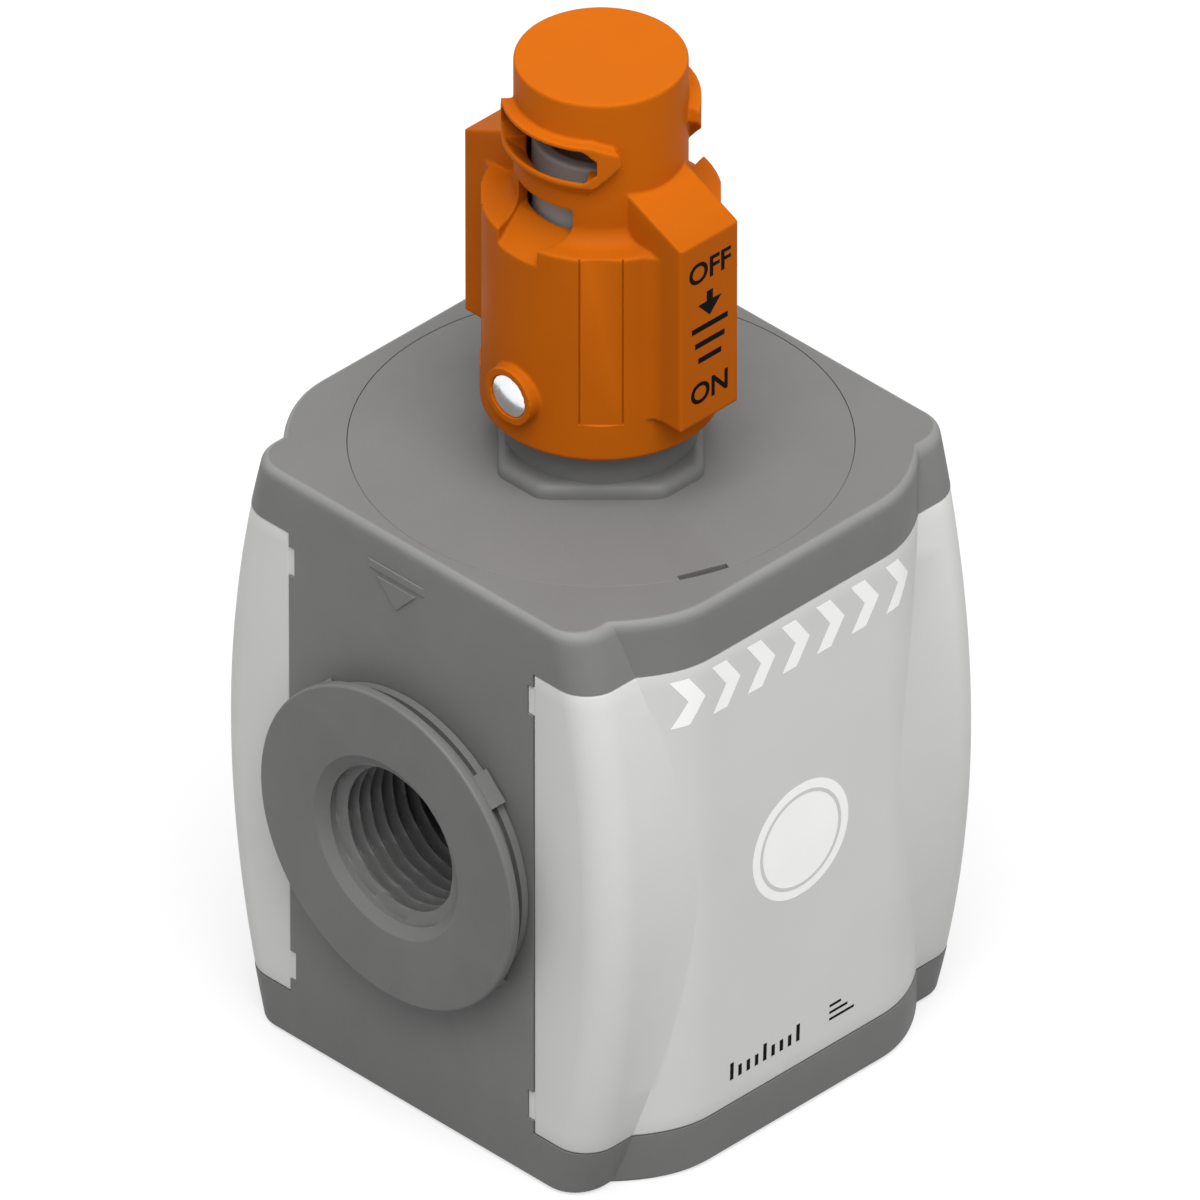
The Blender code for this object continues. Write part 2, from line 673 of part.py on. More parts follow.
def make_seat():
    groove_floor = BORE_RADIUS - SEAL_GROOVE
    outer = BORE_RADIUS - FIT
    groove_low = SEAT_LOW + (SEAT_THICK - SEAL_GROOVE) / 2
    profile = [
        (outer, SEAT_HIGH),
        (outer, groove_low + SEAL_GROOVE),
        (groove_floor, groove_low + SEAL_GROOVE),
        (groove_floor, groove_low),
        (outer, groove_low),
        (outer, SEAT_LOW),
        (SEAT_HOLE, SEAT_LOW),
        (SEAT_HOLE, SEAT_HIGH),
    ]
    seat = turned("valve_seat", profile, PARTS, SMALL_STEPS)
    dress(seat, BRASS)
    seal_ring("seat_seal", BORE_RADIUS - FIT - SEAL_SECTION / 2, groove_low + SEAL_GROOVE / 2)
    return seat


def make_retainer():
    """Slotted sleeve between the lid's boss and the seat, which holds the seat down."""
    low, high = SEAT_HIGH + FIT, BOSS_LOW - FIT
    outer = BORE_RADIUS - FIT
    inner = outer - RETAINER_WALL
    profile = [(outer, high), (outer, low), (inner, low), (inner, high)]
    retainer = turned("seat_retainer", profile, PARTS, SMALL_STEPS)
    half = RETAINER_WINDOW_WIDTH / 2
    for i in range(2):
        window = box(
            f"retainer_window_{i}",
            (-BORE_RADIUS - PAST, -half, low + RETAINER_RIM),
            (BORE_RADIUS + PAST, half, high - RETAINER_RIM),
            CUTTERS,
            math.pi / 2 * i,
        )
        cut(retainer, window)
    return dress(retainer, DARK_POLYMER)


def make_plug():
    """Exhaust plug in the base, which also guides the poppet's tube and carries its spring."""
    shank = LOWER_BORE_RADIUS - FIT
    head_top = PLUG_INSET + PLUG_HEAD
    groove_high = PLUG_TOP - SEAL_SECTION
    groove_low = groove_high - SEAL_GROOVE
    shank_floor = LOWER_BORE_RADIUS - SEAL_GROOVE
    guide = POPPET_TUBE + FIT
    guide_floor = POPPET_TUBE + SEAL_GROOVE
    exhaust_top = PLUG_INSET + EXHAUST_DEPTH
    profile = [
        (shank, PLUG_TOP),
        (shank, groove_high),
        (shank_floor, groove_high),
        (shank_floor, groove_low),
        (shank, groove_low),
        (shank, head_top),
        (PLUG_HEAD_RADIUS, head_top),
        (PLUG_HEAD_RADIUS, PLUG_INSET + FIT),
        (PLUG_HEAD_RADIUS - FIT, PLUG_INSET),
        (EXHAUST_RADIUS, PLUG_INSET),
        (EXHAUST_RADIUS, exhaust_top),
        (guide, exhaust_top),
        (guide, groove_low),
        (guide_floor, groove_low),
        (guide_floor, groove_high),
        (guide, groove_high),
        (guide, PLUG_TOP),
    ]
    plug = turned("exhaust_plug", profile, PARTS, SMALL_STEPS)
    dress(plug, ZINC)
    seal_ring("plug_seal", LOWER_BORE_RADIUS - FIT - SEAL_SECTION / 2, (groove_low + groove_high) / 2)
    seal_ring("guide_seal", POPPET_TUBE + FIT + SEAL_SECTION / 2, (groove_low + groove_high) / 2)
    return plug


def make_poppet():
    """Hollow poppet: its disc shuts the seat and its tube vents the outlet to the base."""
    seal_top = SEAT_LOW - FIT
    groove = seal_top - POPPET_SEAL_THICK - FIT
    tail = PLUG_TOP - POPPET_TAIL
    profile = [
        (POPPET_TUBE, HUB_TOP),
        (POPPET_TUBE, POPPET_HIGH),
        (POPPET_SEAL_INNER - FIT, POPPET_HIGH),
        (POPPET_SEAL_INNER - FIT, groove),
        (POPPET_SEAL_OUTER + FIT, groove),
        (POPPET_SEAL_OUTER + FIT, POPPET_HIGH),
        (POPPET_RADIUS, POPPET_HIGH),
        (POPPET_RADIUS, POPPET_LOW),
        (POPPET_TUBE, POPPET_LOW),
        (POPPET_TUBE, tail),
        (POPPET_HOLE, tail),
        (POPPET_HOLE, HUB_TOP),
    ]
    poppet = turned("poppet", profile, PARTS, SMALL_STEPS)
    dress(poppet, BRASS)
    seal_profile = [
        (POPPET_SEAL_OUTER, seal_top),
        (POPPET_SEAL_OUTER, groove + FIT),
        (POPPET_SEAL_INNER, groove + FIT),
        (POPPET_SEAL_INNER, seal_top),
    ]
    seal = turned("poppet_seal", seal_profile, PARTS, SMALL_STEPS)
    dress(seal, RUBBER)
    return poppet


def make_plunger():
    """Rod from the crosshead down to the rubber pad that closes the poppet's tube."""
    pad_top = PAD_LOW + PLUNGER_PAD
    recess_top = pad_top + FIT
    recess_radius = PLUNGER_PAD_RADIUS + FIT
    head_top = HEAD_LOW + PLUNGER_HEAD
    profile = [
        (0, PLUNGER_TOP),
        (PLUNGER_RADIUS, PLUNGER_TOP),
        (PLUNGER_RADIUS, head_top + PLUNGER_HEAD_RADIUS - PLUNGER_RADIUS),
        (PLUNGER_HEAD_RADIUS, head_top),
        (PLUNGER_HEAD_RADIUS, HEAD_LOW),
        (recess_radius, HEAD_LOW),
        (recess_radius, recess_top),
        (0, recess_top),
    ]
    plunger = turned("plunger", profile, PARTS, SMALL_STEPS)
    dress(plunger, STEEL)
    pad_profile = [(0, pad_top), (PLUNGER_PAD_RADIUS, pad_top), (PLUNGER_PAD_RADIUS, PAD_LOW), (0, PAD_LOW)]
    pad = turned("plunger_pad", pad_profile, PARTS, SMALL_STEPS)
    dress(pad, RUBBER)
    return plunger


def make_spring(name, radius, low, high):
    """Compression spring whose end turns lie closer together than the working ones."""
    end_rise = WIRE + FIT / 2
    foot, head = low + WIRE / 2, high - WIRE / 2
    middle_rise = (head - foot - 2 * end_rise) / (SPRING_TURNS - 2)
    count = round(SPRING_TURNS * SPRING_POINTS)
    curve = bpy.data.curves.new(name, "CURVE")
    curve.dimensions = "3D"
    curve.bevel_depth = WIRE / 2
    curve.bevel_resolution = 1
    curve.use_fill_caps = True
    spline = curve.splines.new("POLY")
    spline.points.add(count)
    for i in range(count + 1):
        turn = SPRING_TURNS * i / count
        first, last = min(turn, 1), max(turn - (SPRING_TURNS - 1), 0)
        z = foot + end_rise * (first + last) + middle_rise * (turn - first - last)
        angle = math.tau * turn
        spline.points[i].co = (radius * math.cos(angle), radius * math.sin(angle), z, 1)
    return dress(add_object(name, curve, PARTS), STEEL)


def pad_plan(side_y, fillet):
    """Plan of a finger pad: a flat face, chamfered edges and, with a fillet, hollow feet on the skirt."""
    inner_y = math.sqrt(CROWN_RADIUS**2 - PAD_HALF_WIDTH**2) - PAST
    half = [(PAD_HALF_WIDTH - PAD_EDGE, PAD_FACE_Y), (PAD_HALF_WIDTH, PAD_FACE_Y - PAD_EDGE)]
    if fillet:
        fillet_x = PAD_HALF_WIDTH + fillet
        fillet_y = math.sqrt((SKIRT_RADIUS + fillet) ** 2 - fillet_x**2)
        meet = math.degrees(math.atan2(-fillet_y, -fillet_x)) + 360
        half += arc((fillet_x, fillet_y), fillet, 180, meet, FILLET_STEPS)
    half.append((PAD_HALF_WIDTH, inner_y))
    outline = half + [(-x, y) for x, y in half[::-1]]
    return [(x, side_y * y) for x, y in outline]


def make_pad(name, side_y):
    """A finger pad: filleted to the skirt below the shoulder, and sloping up to the crown above it."""
    slope = (PAD_TOP_INNER - PAD_TOP_OUTER) / (PAD_FACE_Y - PAD_TOP_INNER_Y)
    plan = pad_plan(side_y, 0)
    bottom = [(x, y, KNOB_LOW + PAD_FROM) for x, y in plan]
    top = [(x, y, KNOB_LOW + PAD_TOP_OUTER + slope * (PAD_FACE_Y - abs(y))) for x, y in plan]
    pad = loft(name, [bottom, top], CUTTERS)
    footed = pad_plan(side_y, PAD_FILLET)
    feet = [[(x, y, z) for x, y in footed] for z in (KNOB_LOW + PAD_FROM, SHOULDER - KNOB_EDGE)]
    join(pad, loft(f"{name}_feet", feet, CUTTERS))
    return pad


def prism(name, outline, half_length, axis):
    """An outline of (across, up) points, drawn out along X or Y by the same length each way."""
    rings = []
    for reach in (-half_length, half_length):
        rings.append([(reach, a, z) if axis == "X" else (a, reach, z) for a, z in outline])
    return loft(name, rings, CUTTERS)


def make_brow(name, side_x):
    """The raised six-sided surround of the padlock window, wrapped round one side of the crown."""
    low, high = KNOB_LOW + BROW_LOW, KNOB_LOW + BROW_HIGH
    flat, point = math.tan(BROW_FLAT_ANGLE), math.tan(BROW_POINT_ANGLE)
    outline = [
        (flat, low),
        (point, (low + high) / 2),
        (flat, high),
        (-flat, high),
        (-point, (low + high) / 2),
        (-flat, low),
    ]
    rings = [[(side_x * x, x * share, z) for share, z in outline] for x in (PAST, BROW_RADIUS + PAST)]
    brow = rod(name, (0, 0, low - PAST), (0, 0, high + PAST), BROW_RADIUS, CUTTERS, ROUND_STEPS)
    combine(brow, loft(f"{name}_outline", rings, CUTTERS), "INTERSECT")
    return brow


def make_knob():
    """Lockable knob: skirt, crown, finger pads, padlock window, sight slots and flutes."""
    fillet = arc((CROWN_RADIUS + SHOULDER_FILLET, SHOULDER + SHOULDER_FILLET), SHOULDER_FILLET, 180, 270, FILLET_STEPS)
    outer = [(0, KNOB_TOP)]
    outer += arc((CROWN_RADIUS - KNOB_EDGE, KNOB_TOP - KNOB_EDGE), KNOB_EDGE, 90, 0, EDGE_STEPS)
    outer += fillet
    outer += arc((SKIRT_RADIUS - KNOB_EDGE, SHOULDER - KNOB_EDGE), KNOB_EDGE, 90, 0, EDGE_STEPS)
    outer += [(SKIRT_RADIUS, KNOB_LOW + KNOB_EDGE), (SKIRT_RADIUS - KNOB_EDGE, KNOB_LOW), (0, KNOB_LOW)]
    knob = turned("knob", outer, PARTS)

    # What stands on the turned form.
    join(knob, make_pad("front_pad", -1), make_pad("rear_pad", 1))
    boss = rod("pin_boss", (-PIN_BOSS_REACH, 0, PIN_Z), (PIN_BOSS_REACH, 0, PIN_Z), PIN_BOSS_RADIUS, CUTTERS)
    join(knob, make_brow("brow_left", -1), make_brow("brow_right", 1), boss)

    # The hollow that takes the column.
    roof = KNOB_TOP - CROWN_ROOF
    skirt_roof = KNOB_LOW + SKIRT_BORE_DEPTH
    cavity_profile = [
        (0, roof),
        (CROWN_BORE, roof),
        (CROWN_BORE, skirt_roof + SKIRT_BORE - CROWN_BORE),
        (SKIRT_BORE, skirt_roof),
        (SKIRT_BORE, KNOB_LOW - PAST),
        (0, KNOB_LOW - PAST),
    ]
    cut(knob, turned("knob_cavity", cavity_profile, CUTTERS))

    # Padlock window, sight slots, flutes and the holes for the pins.
    lock_low, lock_high = KNOB_LOW + LOCK_LOW, KNOB_LOW + LOCK_HIGH
    lock_outline = []
    for side_y, z_from, z_to in ((1, lock_low, lock_high), (-1, lock_high, lock_low)):
        inward = math.copysign(LOCK_CHAMFER, z_to - z_from)
        lock_outline += [
            (side_y * (LOCK_HALF_WIDTH - LOCK_CHAMFER), z_from),
            (side_y * LOCK_HALF_WIDTH, z_from + inward),
            (side_y * LOCK_HALF_WIDTH, z_to - inward),
            (side_y * (LOCK_HALF_WIDTH - LOCK_CHAMFER), z_to),
        ]
    lock = prism("padlock_window", lock_outline, BROW_RADIUS + PAST, "X")
    # The channel's floor falls away from the crown to the edge of the skirt and on past it.
    slope = (SIGHT_INNER - SIGHT_OUTER) / (SKIRT_RADIUS - CROWN_RADIUS)
    past_skirt = SKIRT_RADIUS + PAST
    floor_past_skirt = KNOB_LOW + SIGHT_OUTER - slope * PAST
    sight_outline = [
        (-past_skirt, floor_past_skirt),
        (-CROWN_RADIUS, KNOB_LOW + SIGHT_INNER),
        (CROWN_RADIUS, KNOB_LOW + SIGHT_INNER),
        (past_skirt, floor_past_skirt),
        (past_skirt, KNOB_LOW + SIGHT_HIGH),
        (-past_skirt, KNOB_LOW + SIGHT_HIGH),
    ]
    sight = prism("sight_slots", sight_outline, SIGHT_HALF_WIDTH, "Y")
    pin_hole = rod(
        "pin_hole",
        (-PIN_BOSS_REACH - PAST, 0, PIN_Z),
        (PIN_BOSS_REACH + PAST, 0, PIN_Z),
        PIN_RADIUS + FIT,
        CUTTERS,
    )
    cut(knob, lock, sight, pin_hole)
    for i in range(4):
        flute = box(
            f"flute_{i}",
            (SKIRT_RADIUS - FLUTE_DEPTH, -FLUTE_WIDTH / 2, KNOB_LOW + FLUTE_FROM),
            (SKIRT_RADIUS + PAST, FLUTE_WIDTH / 2, SHOULDER + PAST),
            CUTTERS,
            math.radians(45 + 90 * i),
        )
        cut(knob, flute)
    return dress(knob, ORANGE_POLYMER)


def make_pin(name, side_x):
    start = (side_x * PIN_INNER_X, 0, PIN_Z)
    end = (side_x * (PIN_BOSS_REACH - PIN_INSET), 0, PIN_Z)
    return dress(rod(name, start, end, PIN_RADIUS, PARTS), STEEL)


def make_crosshead():
    """Short piston inside the column, which the pins carry and which pushes the plunger."""
    radius = COLUMN_BORE - FIT
    profile = [(0, CROSSHEAD_HIGH), (radius, CROSSHEAD_HIGH), (radius, CROSSHEAD_LOW), (0, CROSSHEAD_LOW)]
    crosshead = turned("crosshead", profile, PARTS, SMALL_STEPS)
    for side_x, side in ((-1, "left"), (1, "right")):
        hole = rod(
            f"crosshead_hole_{side}",
            (side_x * (PIN_INNER_X - FIT), 0, PIN_Z),
            (side_x * (COLUMN_BORE + PAST), 0, PIN_Z),
            PIN_RADIUS + FIT,
            CUTTERS,
        )
        cut(crosshead, hole)
    return dress(crosshead, BRASS)


def group(name, height, *members):
    """An empty on the valve's axis, which carries the pieces that move as one."""
    empty = add_object(name, None, PARTS)
    empty.location = (0, 0, height)
    bpy.context.view_layer.update()
    for member in members:
        member.parent = empty
        member.matrix_parent_inverse = empty.matrix_world.inverted()
    return empty


make_body()
make_cover("front_cover", -1)
make_cover("rear_cover", 1)
make_flange("inlet", -1)
make_flange("outlet", 1)
make_bonnet()
make_column()
make_seat()
make_retainer()
make_plug()
make_poppet()
make_plunger()
make_knob()
make_pin("bayonet_pin_left", -1)
make_pin("bayonet_pin_right", 1)
make_crosshead()
make_spring("poppet_spring", POPPET_SPRING_RADIUS, PLUG_TOP + FIT, POPPET_LOW - FIT)
make_spring("plunger_spring", PLUNGER_SPRING_RADIUS, SPIGOT_LOW, CROSSHEAD_LOW - FIT)

MOVING = {
    "poppet_slide": (POPPET_LOW, ("poppet", "poppet_seal")),
    "plunger_slide": (PLUNGER_TOP, ("plunger", "plunger_pad")),
    "knob_turn": (PIN_Z, ("knob", "bayonet_pin_left", "bayonet_pin_right", "crosshead")),
}
for group_name, (height, names) in MOVING.items():
    group(group_name, height, *[bpy.data.objects[name] for name in names])
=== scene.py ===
# %% [markdown]
# # A shut-off valve for compressed air
#
# This lesson dresses a working model of a pneumatic valve until it looks like the real one.
# The working model has its pieces, their sizes and their motion already. It is made of flat
# facets, and it has no threads, no grain and no printed marks. Those are what this file adds.
#
# Every size below is in metres. X runs from the inlet port to the outlet port, the front cover
# faces -Y, and Z runs up the knob. The underside of the valve is at Z = 0.

import json
import math

import bmesh
import bpy
from mathutils import Matrix, Vector


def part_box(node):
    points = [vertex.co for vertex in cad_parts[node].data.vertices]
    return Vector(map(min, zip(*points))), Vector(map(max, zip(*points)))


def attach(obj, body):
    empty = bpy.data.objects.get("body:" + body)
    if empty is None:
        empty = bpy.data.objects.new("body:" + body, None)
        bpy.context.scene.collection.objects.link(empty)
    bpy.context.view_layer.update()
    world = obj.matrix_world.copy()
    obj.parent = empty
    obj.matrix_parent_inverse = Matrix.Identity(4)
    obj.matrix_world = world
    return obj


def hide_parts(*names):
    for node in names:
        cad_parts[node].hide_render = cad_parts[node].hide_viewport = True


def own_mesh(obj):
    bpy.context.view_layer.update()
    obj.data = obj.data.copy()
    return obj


MM = 0.001
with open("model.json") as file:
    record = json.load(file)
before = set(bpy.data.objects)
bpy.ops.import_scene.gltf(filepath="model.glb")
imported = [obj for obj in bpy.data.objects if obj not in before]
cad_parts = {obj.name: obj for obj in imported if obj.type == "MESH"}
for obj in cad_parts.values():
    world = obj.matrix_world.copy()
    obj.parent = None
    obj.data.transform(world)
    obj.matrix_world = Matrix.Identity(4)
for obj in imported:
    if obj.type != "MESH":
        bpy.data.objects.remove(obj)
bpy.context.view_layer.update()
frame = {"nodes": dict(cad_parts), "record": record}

# %% [markdown]
# ## The camera
#
# The photograph is an isometric view: all three axes are shortened alike, and lines that are
# parallel on the valve stay parallel in the picture. A camera far away with a very long lens
# sees nearly the same. A true parallel camera would do it exactly, but it would crop the valve
# in the views from other sides, so the long lens is the better choice here.
#
# The height of the picture's middle was read from the photograph. The valve's axis runs one
# pixel to the right of the middle of a picture 1200 pixels wide.

# %% Camera
PICTURE_PIXELS = 1200
PIXELS_PER_MM = 8.683
AXIS_PIXEL = 601
LENS = 1600.0
SENSOR = 36.0
MIDDLE_HEIGHT = 56.5 * MM

picture_width = PICTURE_PIXELS / PIXELS_PER_MM * MM
towards_camera = Vector((-1, -1, 1)).normalized()
picture_right = Vector((1, -1, 0)).normalized()
target = Vector((0, 0, MIDDLE_HEIGHT))
target -= picture_right * (AXIS_PIXEL - PICTURE_PIXELS / 2) / PIXELS_PER_MM * MM
distance = picture_width * LENS / SENSOR

camera_data = bpy.data.cameras.new("camera")
camera_data.lens = LENS
camera_data.sensor_width = SENSOR
camera_data.clip_end = 4 * distance
camera = bpy.data.objects.new("camera", camera_data)
camera.location = target + towards_camera * distance
camera.rotation_euler = towards_camera.to_track_quat("Z", "Y").to_euler()
bpy.context.scene.collection.objects.link(camera)
bpy.context.scene.camera = camera
print("the picture is", round(picture_width / MM, 1), "mm wide, seen from", round(distance, 2), "m")

# %% [markdown]
# ## Floor, lamps and world
#
# The valve stands on a grey sheet. Camera rays add so much white to it that it blends into the
# white background, while its shadow stays. Being grey, it throws little light up at the sides.
# The light is soft and comes mostly from above: the lid gets the most, the front cover about
# three fifths of that and the inlet side half. One wide overhead lamp that leans towards the
# front gives that order.

# %% Floor and light
FLOOR_SIZE = 6.0
FLOOR_WHITE = 0.25
FLOOR_FILL = 0.66
WORLD_LIGHT = 0.56
KEY_LIGHT = 3.6
KEY_LEAN = (-0.27, -0.355, 1.0)
KEY_SPREAD = math.radians(50)

scene = bpy.context.scene
scene.view_settings.view_transform = "Standard"


def seen_directly(tree):
    """A factor of 1 for rays from the camera, from a reflection or through glass, and 0 for the rest."""
    path = tree.nodes.new("ShaderNodeLightPath")
    either = tree.nodes.new("ShaderNodeMath")
    either.operation = "MAXIMUM"
    tree.links.new(path.outputs["Is Camera Ray"], either.inputs[0])
    tree.links.new(path.outputs["Is Glossy Ray"], either.inputs[1])
    any_of = tree.nodes.new("ShaderNodeMath")
    any_of.operation = "MAXIMUM"
    tree.links.new(either.outputs[0], any_of.inputs[0])
    tree.links.new(path.outputs["Is Transmission Ray"], any_of.inputs[1])
    return any_of.outputs[0]


world = bpy.data.worlds.new("studio")
scene.world = world
world.use_nodes = True
sky = world.node_tree
backdrop = sky.nodes["Background"]
backdrop.inputs["Color"].default_value = (1, 1, 1, 1)
level = sky.nodes.new("ShaderNodeMapRange")
level.inputs["To Min"].default_value = WORLD_LIGHT
level.inputs["To Max"].default_value = 1.0
sky.links.new(seen_directly(sky), level.inputs["Value"])
sky.links.new(level.outputs["Result"], backdrop.inputs["Strength"])

floor_mesh = bpy.data.meshes.new("floor")
half = FLOOR_SIZE / 2
floor_corners = [(-half, -half, 0), (half, -half, 0), (half, half, 0), (-half, half, 0)]
floor_mesh.from_pydata(floor_corners, [], [(0, 1, 2, 3)])
floor = bpy.data.objects.new("floor", floor_mesh)
scene.collection.objects.link(floor)
sheet = bpy.data.materials.new("grey sheet")
sheet.use_nodes = True
paper = sheet.node_tree
paper_shader = paper.nodes["Principled BSDF"]
paper_shader.inputs["Base Color"].default_value = (FLOOR_WHITE, FLOOR_WHITE, FLOOR_WHITE, 1)
paper_shader.inputs["Roughness"].default_value = 1.0
paper_shader.inputs["Emission Color"].default_value = (1, 1, 1, 1)
fill = paper.nodes.new("ShaderNodeMath")
fill.operation = "MULTIPLY"
fill.inputs[1].default_value = FLOOR_FILL
paper.links.new(seen_directly(paper), fill.inputs[0])
paper.links.new(fill.outputs[0], paper_shader.inputs["Emission Strength"])
floor_mesh.materials.append(sheet)

lamp_data = bpy.data.lights.new("overhead lamp", "SUN")
lamp_data.energy = KEY_LIGHT
lamp_data.angle = KEY_SPREAD
lamp = bpy.data.objects.new("overhead lamp", lamp_data)
lamp.rotation_euler = Vector(KEY_LEAN).to_track_quat("Z", "Y").to_euler()
scene.collection.objects.link(lamp)
print("world light", WORLD_LIGHT, "and lamp", KEY_LIGHT)

# %% [markdown]
# ## Moulded plastic
#
# The body, the covers and the knob are moulded. Such a surface is never one flat colour: the
# mould leaves a fine grain, the pigment is a little uneven, and some spots are smoother than
# others. One function builds all of that from noise, and each plastic gets its own colour,
# grain and shine. The noise follows the piece and not the camera.
#
# Edges could be lightened by their curvature, but that draws streaks over the long thin faces that a Boolean
# leaves, so an edge gets its light from its rounding.
#
# Some tones change with the height more than the lamp gives them, so light and shade are painted into the
# plastic by height. Painted shade makes the body a little darker at its foot, a painted highlight gives it a
# light band under its upper edge, and painted shade gives its flat top the lid's tone. Painted shade makes the
# knob's skirt darker than its crown, and painted light makes the column's upper end lighter than its barrel.

# %% A material for moulded plastic
GRAIN_SIZE = 0.22 * MM
MOTTLE_SIZE = 14 * MM
NOISE_LOW = 0.3
NOISE_HIGH = 0.7
BODY_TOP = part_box("bonnet")[1].z
RIM_BAND = 1.6 * MM

# A painted shade or highlight holds two heights, between which it sets in, and the tone that everything above
# gets.
# Painted shade: the body is darker at its foot.
FOOT_PAINTED_SHADE = (2.0 * MM, 14.0 * MM, 1.15)
# Painted highlight: a light band under the body's upper edge.
RIM_PAINTED_HIGHLIGHT = (BODY_TOP - RIM_BAND, BODY_TOP - 0.6 * RIM_BAND, 1.22)
# Painted shade: the body's flat top is darker, as dark as the lid.
TOP_PAINTED_SHADE = (BODY_TOP - 0.10 * MM, BODY_TOP - 0.01 * MM, 0.74)
# Painted light and shade: the knob's crown is lighter than its skirt, which stands for the shade on the skirt.
CROWN_PAINTED_LIGHT = (116.0 * MM, 120.0 * MM, 1.15)
# Painted light: the column's upper end, seen through the knob's windows, is lighter.
COLUMN_END_PAINTED_LIGHT = (100.0 * MM, 112.0 * MM, 1.9)


def new_material(name):
    material = bpy.data.materials.new(name)
    material.use_nodes = True
    return material, material.node_tree, material.node_tree.nodes["Principled BSDF"]


def noise_field(tree, size, detail=3.0):
    """Noise whose blotches are about that size, fixed to the piece."""
    place = tree.nodes.new("ShaderNodeTexCoord")
    field = tree.nodes.new("ShaderNodeTexNoise")
    field.inputs["Scale"].default_value = 1 / size
    field.inputs["Detail"].default_value = detail
    tree.links.new(place.outputs["Object"], field.inputs["Vector"])
    return field.outputs["Fac"]


def spread(tree, value, low, high):
    """Stretches the middle of a noise value over a range."""
    node = tree.nodes.new("ShaderNodeMapRange")
    node.inputs["From Min"].default_value = NOISE_LOW
    node.inputs["From Max"].default_value = NOISE_HIGH
    node.inputs["To Min"].default_value = low
    node.inputs["To Max"].default_value = high
    tree.links.new(value, node.inputs["Value"])
    return node.outputs["Result"]


def scaled_colour(tree, colour, factor):
    """A colour made lighter or darker by a factor that varies over the surface."""
    node = tree.nodes.new("ShaderNodeVectorMath")
    node.operation = "SCALE"
    node.inputs[0].default_value = colour
    tree.links.new(factor, node.inputs["Scale"])
    return node.outputs["Vector"]


def bumped(tree, shader, height, distance, strength=1.0):
    bump = tree.nodes.new("ShaderNodeBump")
    bump.inputs["Strength"].default_value = strength
    bump.inputs["Distance"].default_value = distance
    tree.links.new(height, bump.inputs["Height"])
    tree.links.new(bump.outputs["Normal"], shader.inputs["Normal"])


def paint_shading_by_height(tree, factor, start, end, tone):
    """The factor, multiplied by a tone of painted light or shade that sets in between two heights and stays
    above them.
    """
    place = tree.nodes.new("ShaderNodeTexCoord")
    parts = tree.nodes.new("ShaderNodeSeparateXYZ")
    tree.links.new(place.outputs["Object"], parts.inputs[0])
    ramp = tree.nodes.new("ShaderNodeMapRange")
    ramp.interpolation_type = "SMOOTHSTEP"
    for socket, number in zip(("From Min", "From Max", "To Min", "To Max"), (start, end, 1.0, tone)):
        ramp.inputs[socket].default_value = number
    tree.links.new(parts.outputs["Z"], ramp.inputs["Value"])
    product = tree.nodes.new("ShaderNodeMath")
    product.operation = "MULTIPLY"
    tree.links.new(factor, product.inputs[0])
    tree.links.new(ramp.outputs["Result"], product.inputs[1])
    return product.outputs["Value"]


def moulded_plastic(name, colour, roughness, grain, mottle=0.03, shine=0.25, painted_shading=()):
    """Plastic with uneven pigment, patches of other smoothness, a fine grain of the given depth, and light and
    shade painted in by height.
    """
    material, tree, shader = new_material(name)
    factor = spread(tree, noise_field(tree, MOTTLE_SIZE), 1 - mottle, 1 + mottle)
    # Painted light and shade: the colour is multiplied by one tone for each band of height.
    for start, end, tone in painted_shading:
        factor = paint_shading_by_height(tree, factor, start, end, tone)
    tree.links.new(scaled_colour(tree, colour, factor), shader.inputs["Base Color"])
    rough = spread(tree, noise_field(tree, MOTTLE_SIZE / 3), roughness - 0.05, roughness + 0.05)
    tree.links.new(rough, shader.inputs["Roughness"])
    shader.inputs["Specular IOR Level"].default_value = shine
    bumped(tree, shader, noise_field(tree, GRAIN_SIZE, 2.0), grain)
    return material


# The body's plastic carries painted shade at its foot and on its flat top, and a painted highlight under its
# upper edge.
body_painted_shading = (FOOT_PAINTED_SHADE, RIM_PAINTED_HIGHLIGHT, TOP_PAINTED_SHADE)
DARK_GREY = moulded_plastic("dark grey plastic with painted shading", (0.147, 0.147, 0.145), 0.58, 0.020 * MM, painted_shading=body_painted_shading)
LID_GREY = moulded_plastic("lid plastic", (0.152, 0.151, 0.147), 0.60, 0.024 * MM)
LIGHT_GREY = moulded_plastic("light grey plastic", (0.600, 0.602, 0.588), 0.50, 0.010 * MM, 0.015)
# ORANGE is the skirt's tone, darkened as painted shade; the crown is painted lighter than it.
ORANGE = (0.430, 0.096, 0.003)
SIGNAL_ORANGE = moulded_plastic("signal orange plastic with painted shading", ORANGE, 0.50, 0.006 * MM, 0.03, 0.03, (CROWN_PAINTED_LIGHT,))
COLUMN_TONE = (0.142, 0.142, 0.140)
# The column's plastic carries painted light on its upper end.
COLUMN_GREY = moulded_plastic("column plastic with painted light", COLUMN_TONE, 0.50, 0.008 * MM, painted_shading=(COLUMN_END_PAINTED_LIGHT,))
print("plastics:", [m.name for m in (DARK_GREY, LID_GREY, LIGHT_GREY, SIGNAL_ORANGE, COLUMN_GREY)])

# %% [markdown]
# ## Metals, rubber and print
#
# The flanges are cast and coated, so they take the plastic's recipe with a coarser grain. The
# pins, the springs and the valve seat are turned or ground. A lathe leaves fine rings about the
# axis that the piece was turned on, and these rings stretch the highlight. Noise that is read at
# a point's distance from that axis gives just such rings.

# %% Metals, rubber and print
RING_SIZE = 0.10 * MM


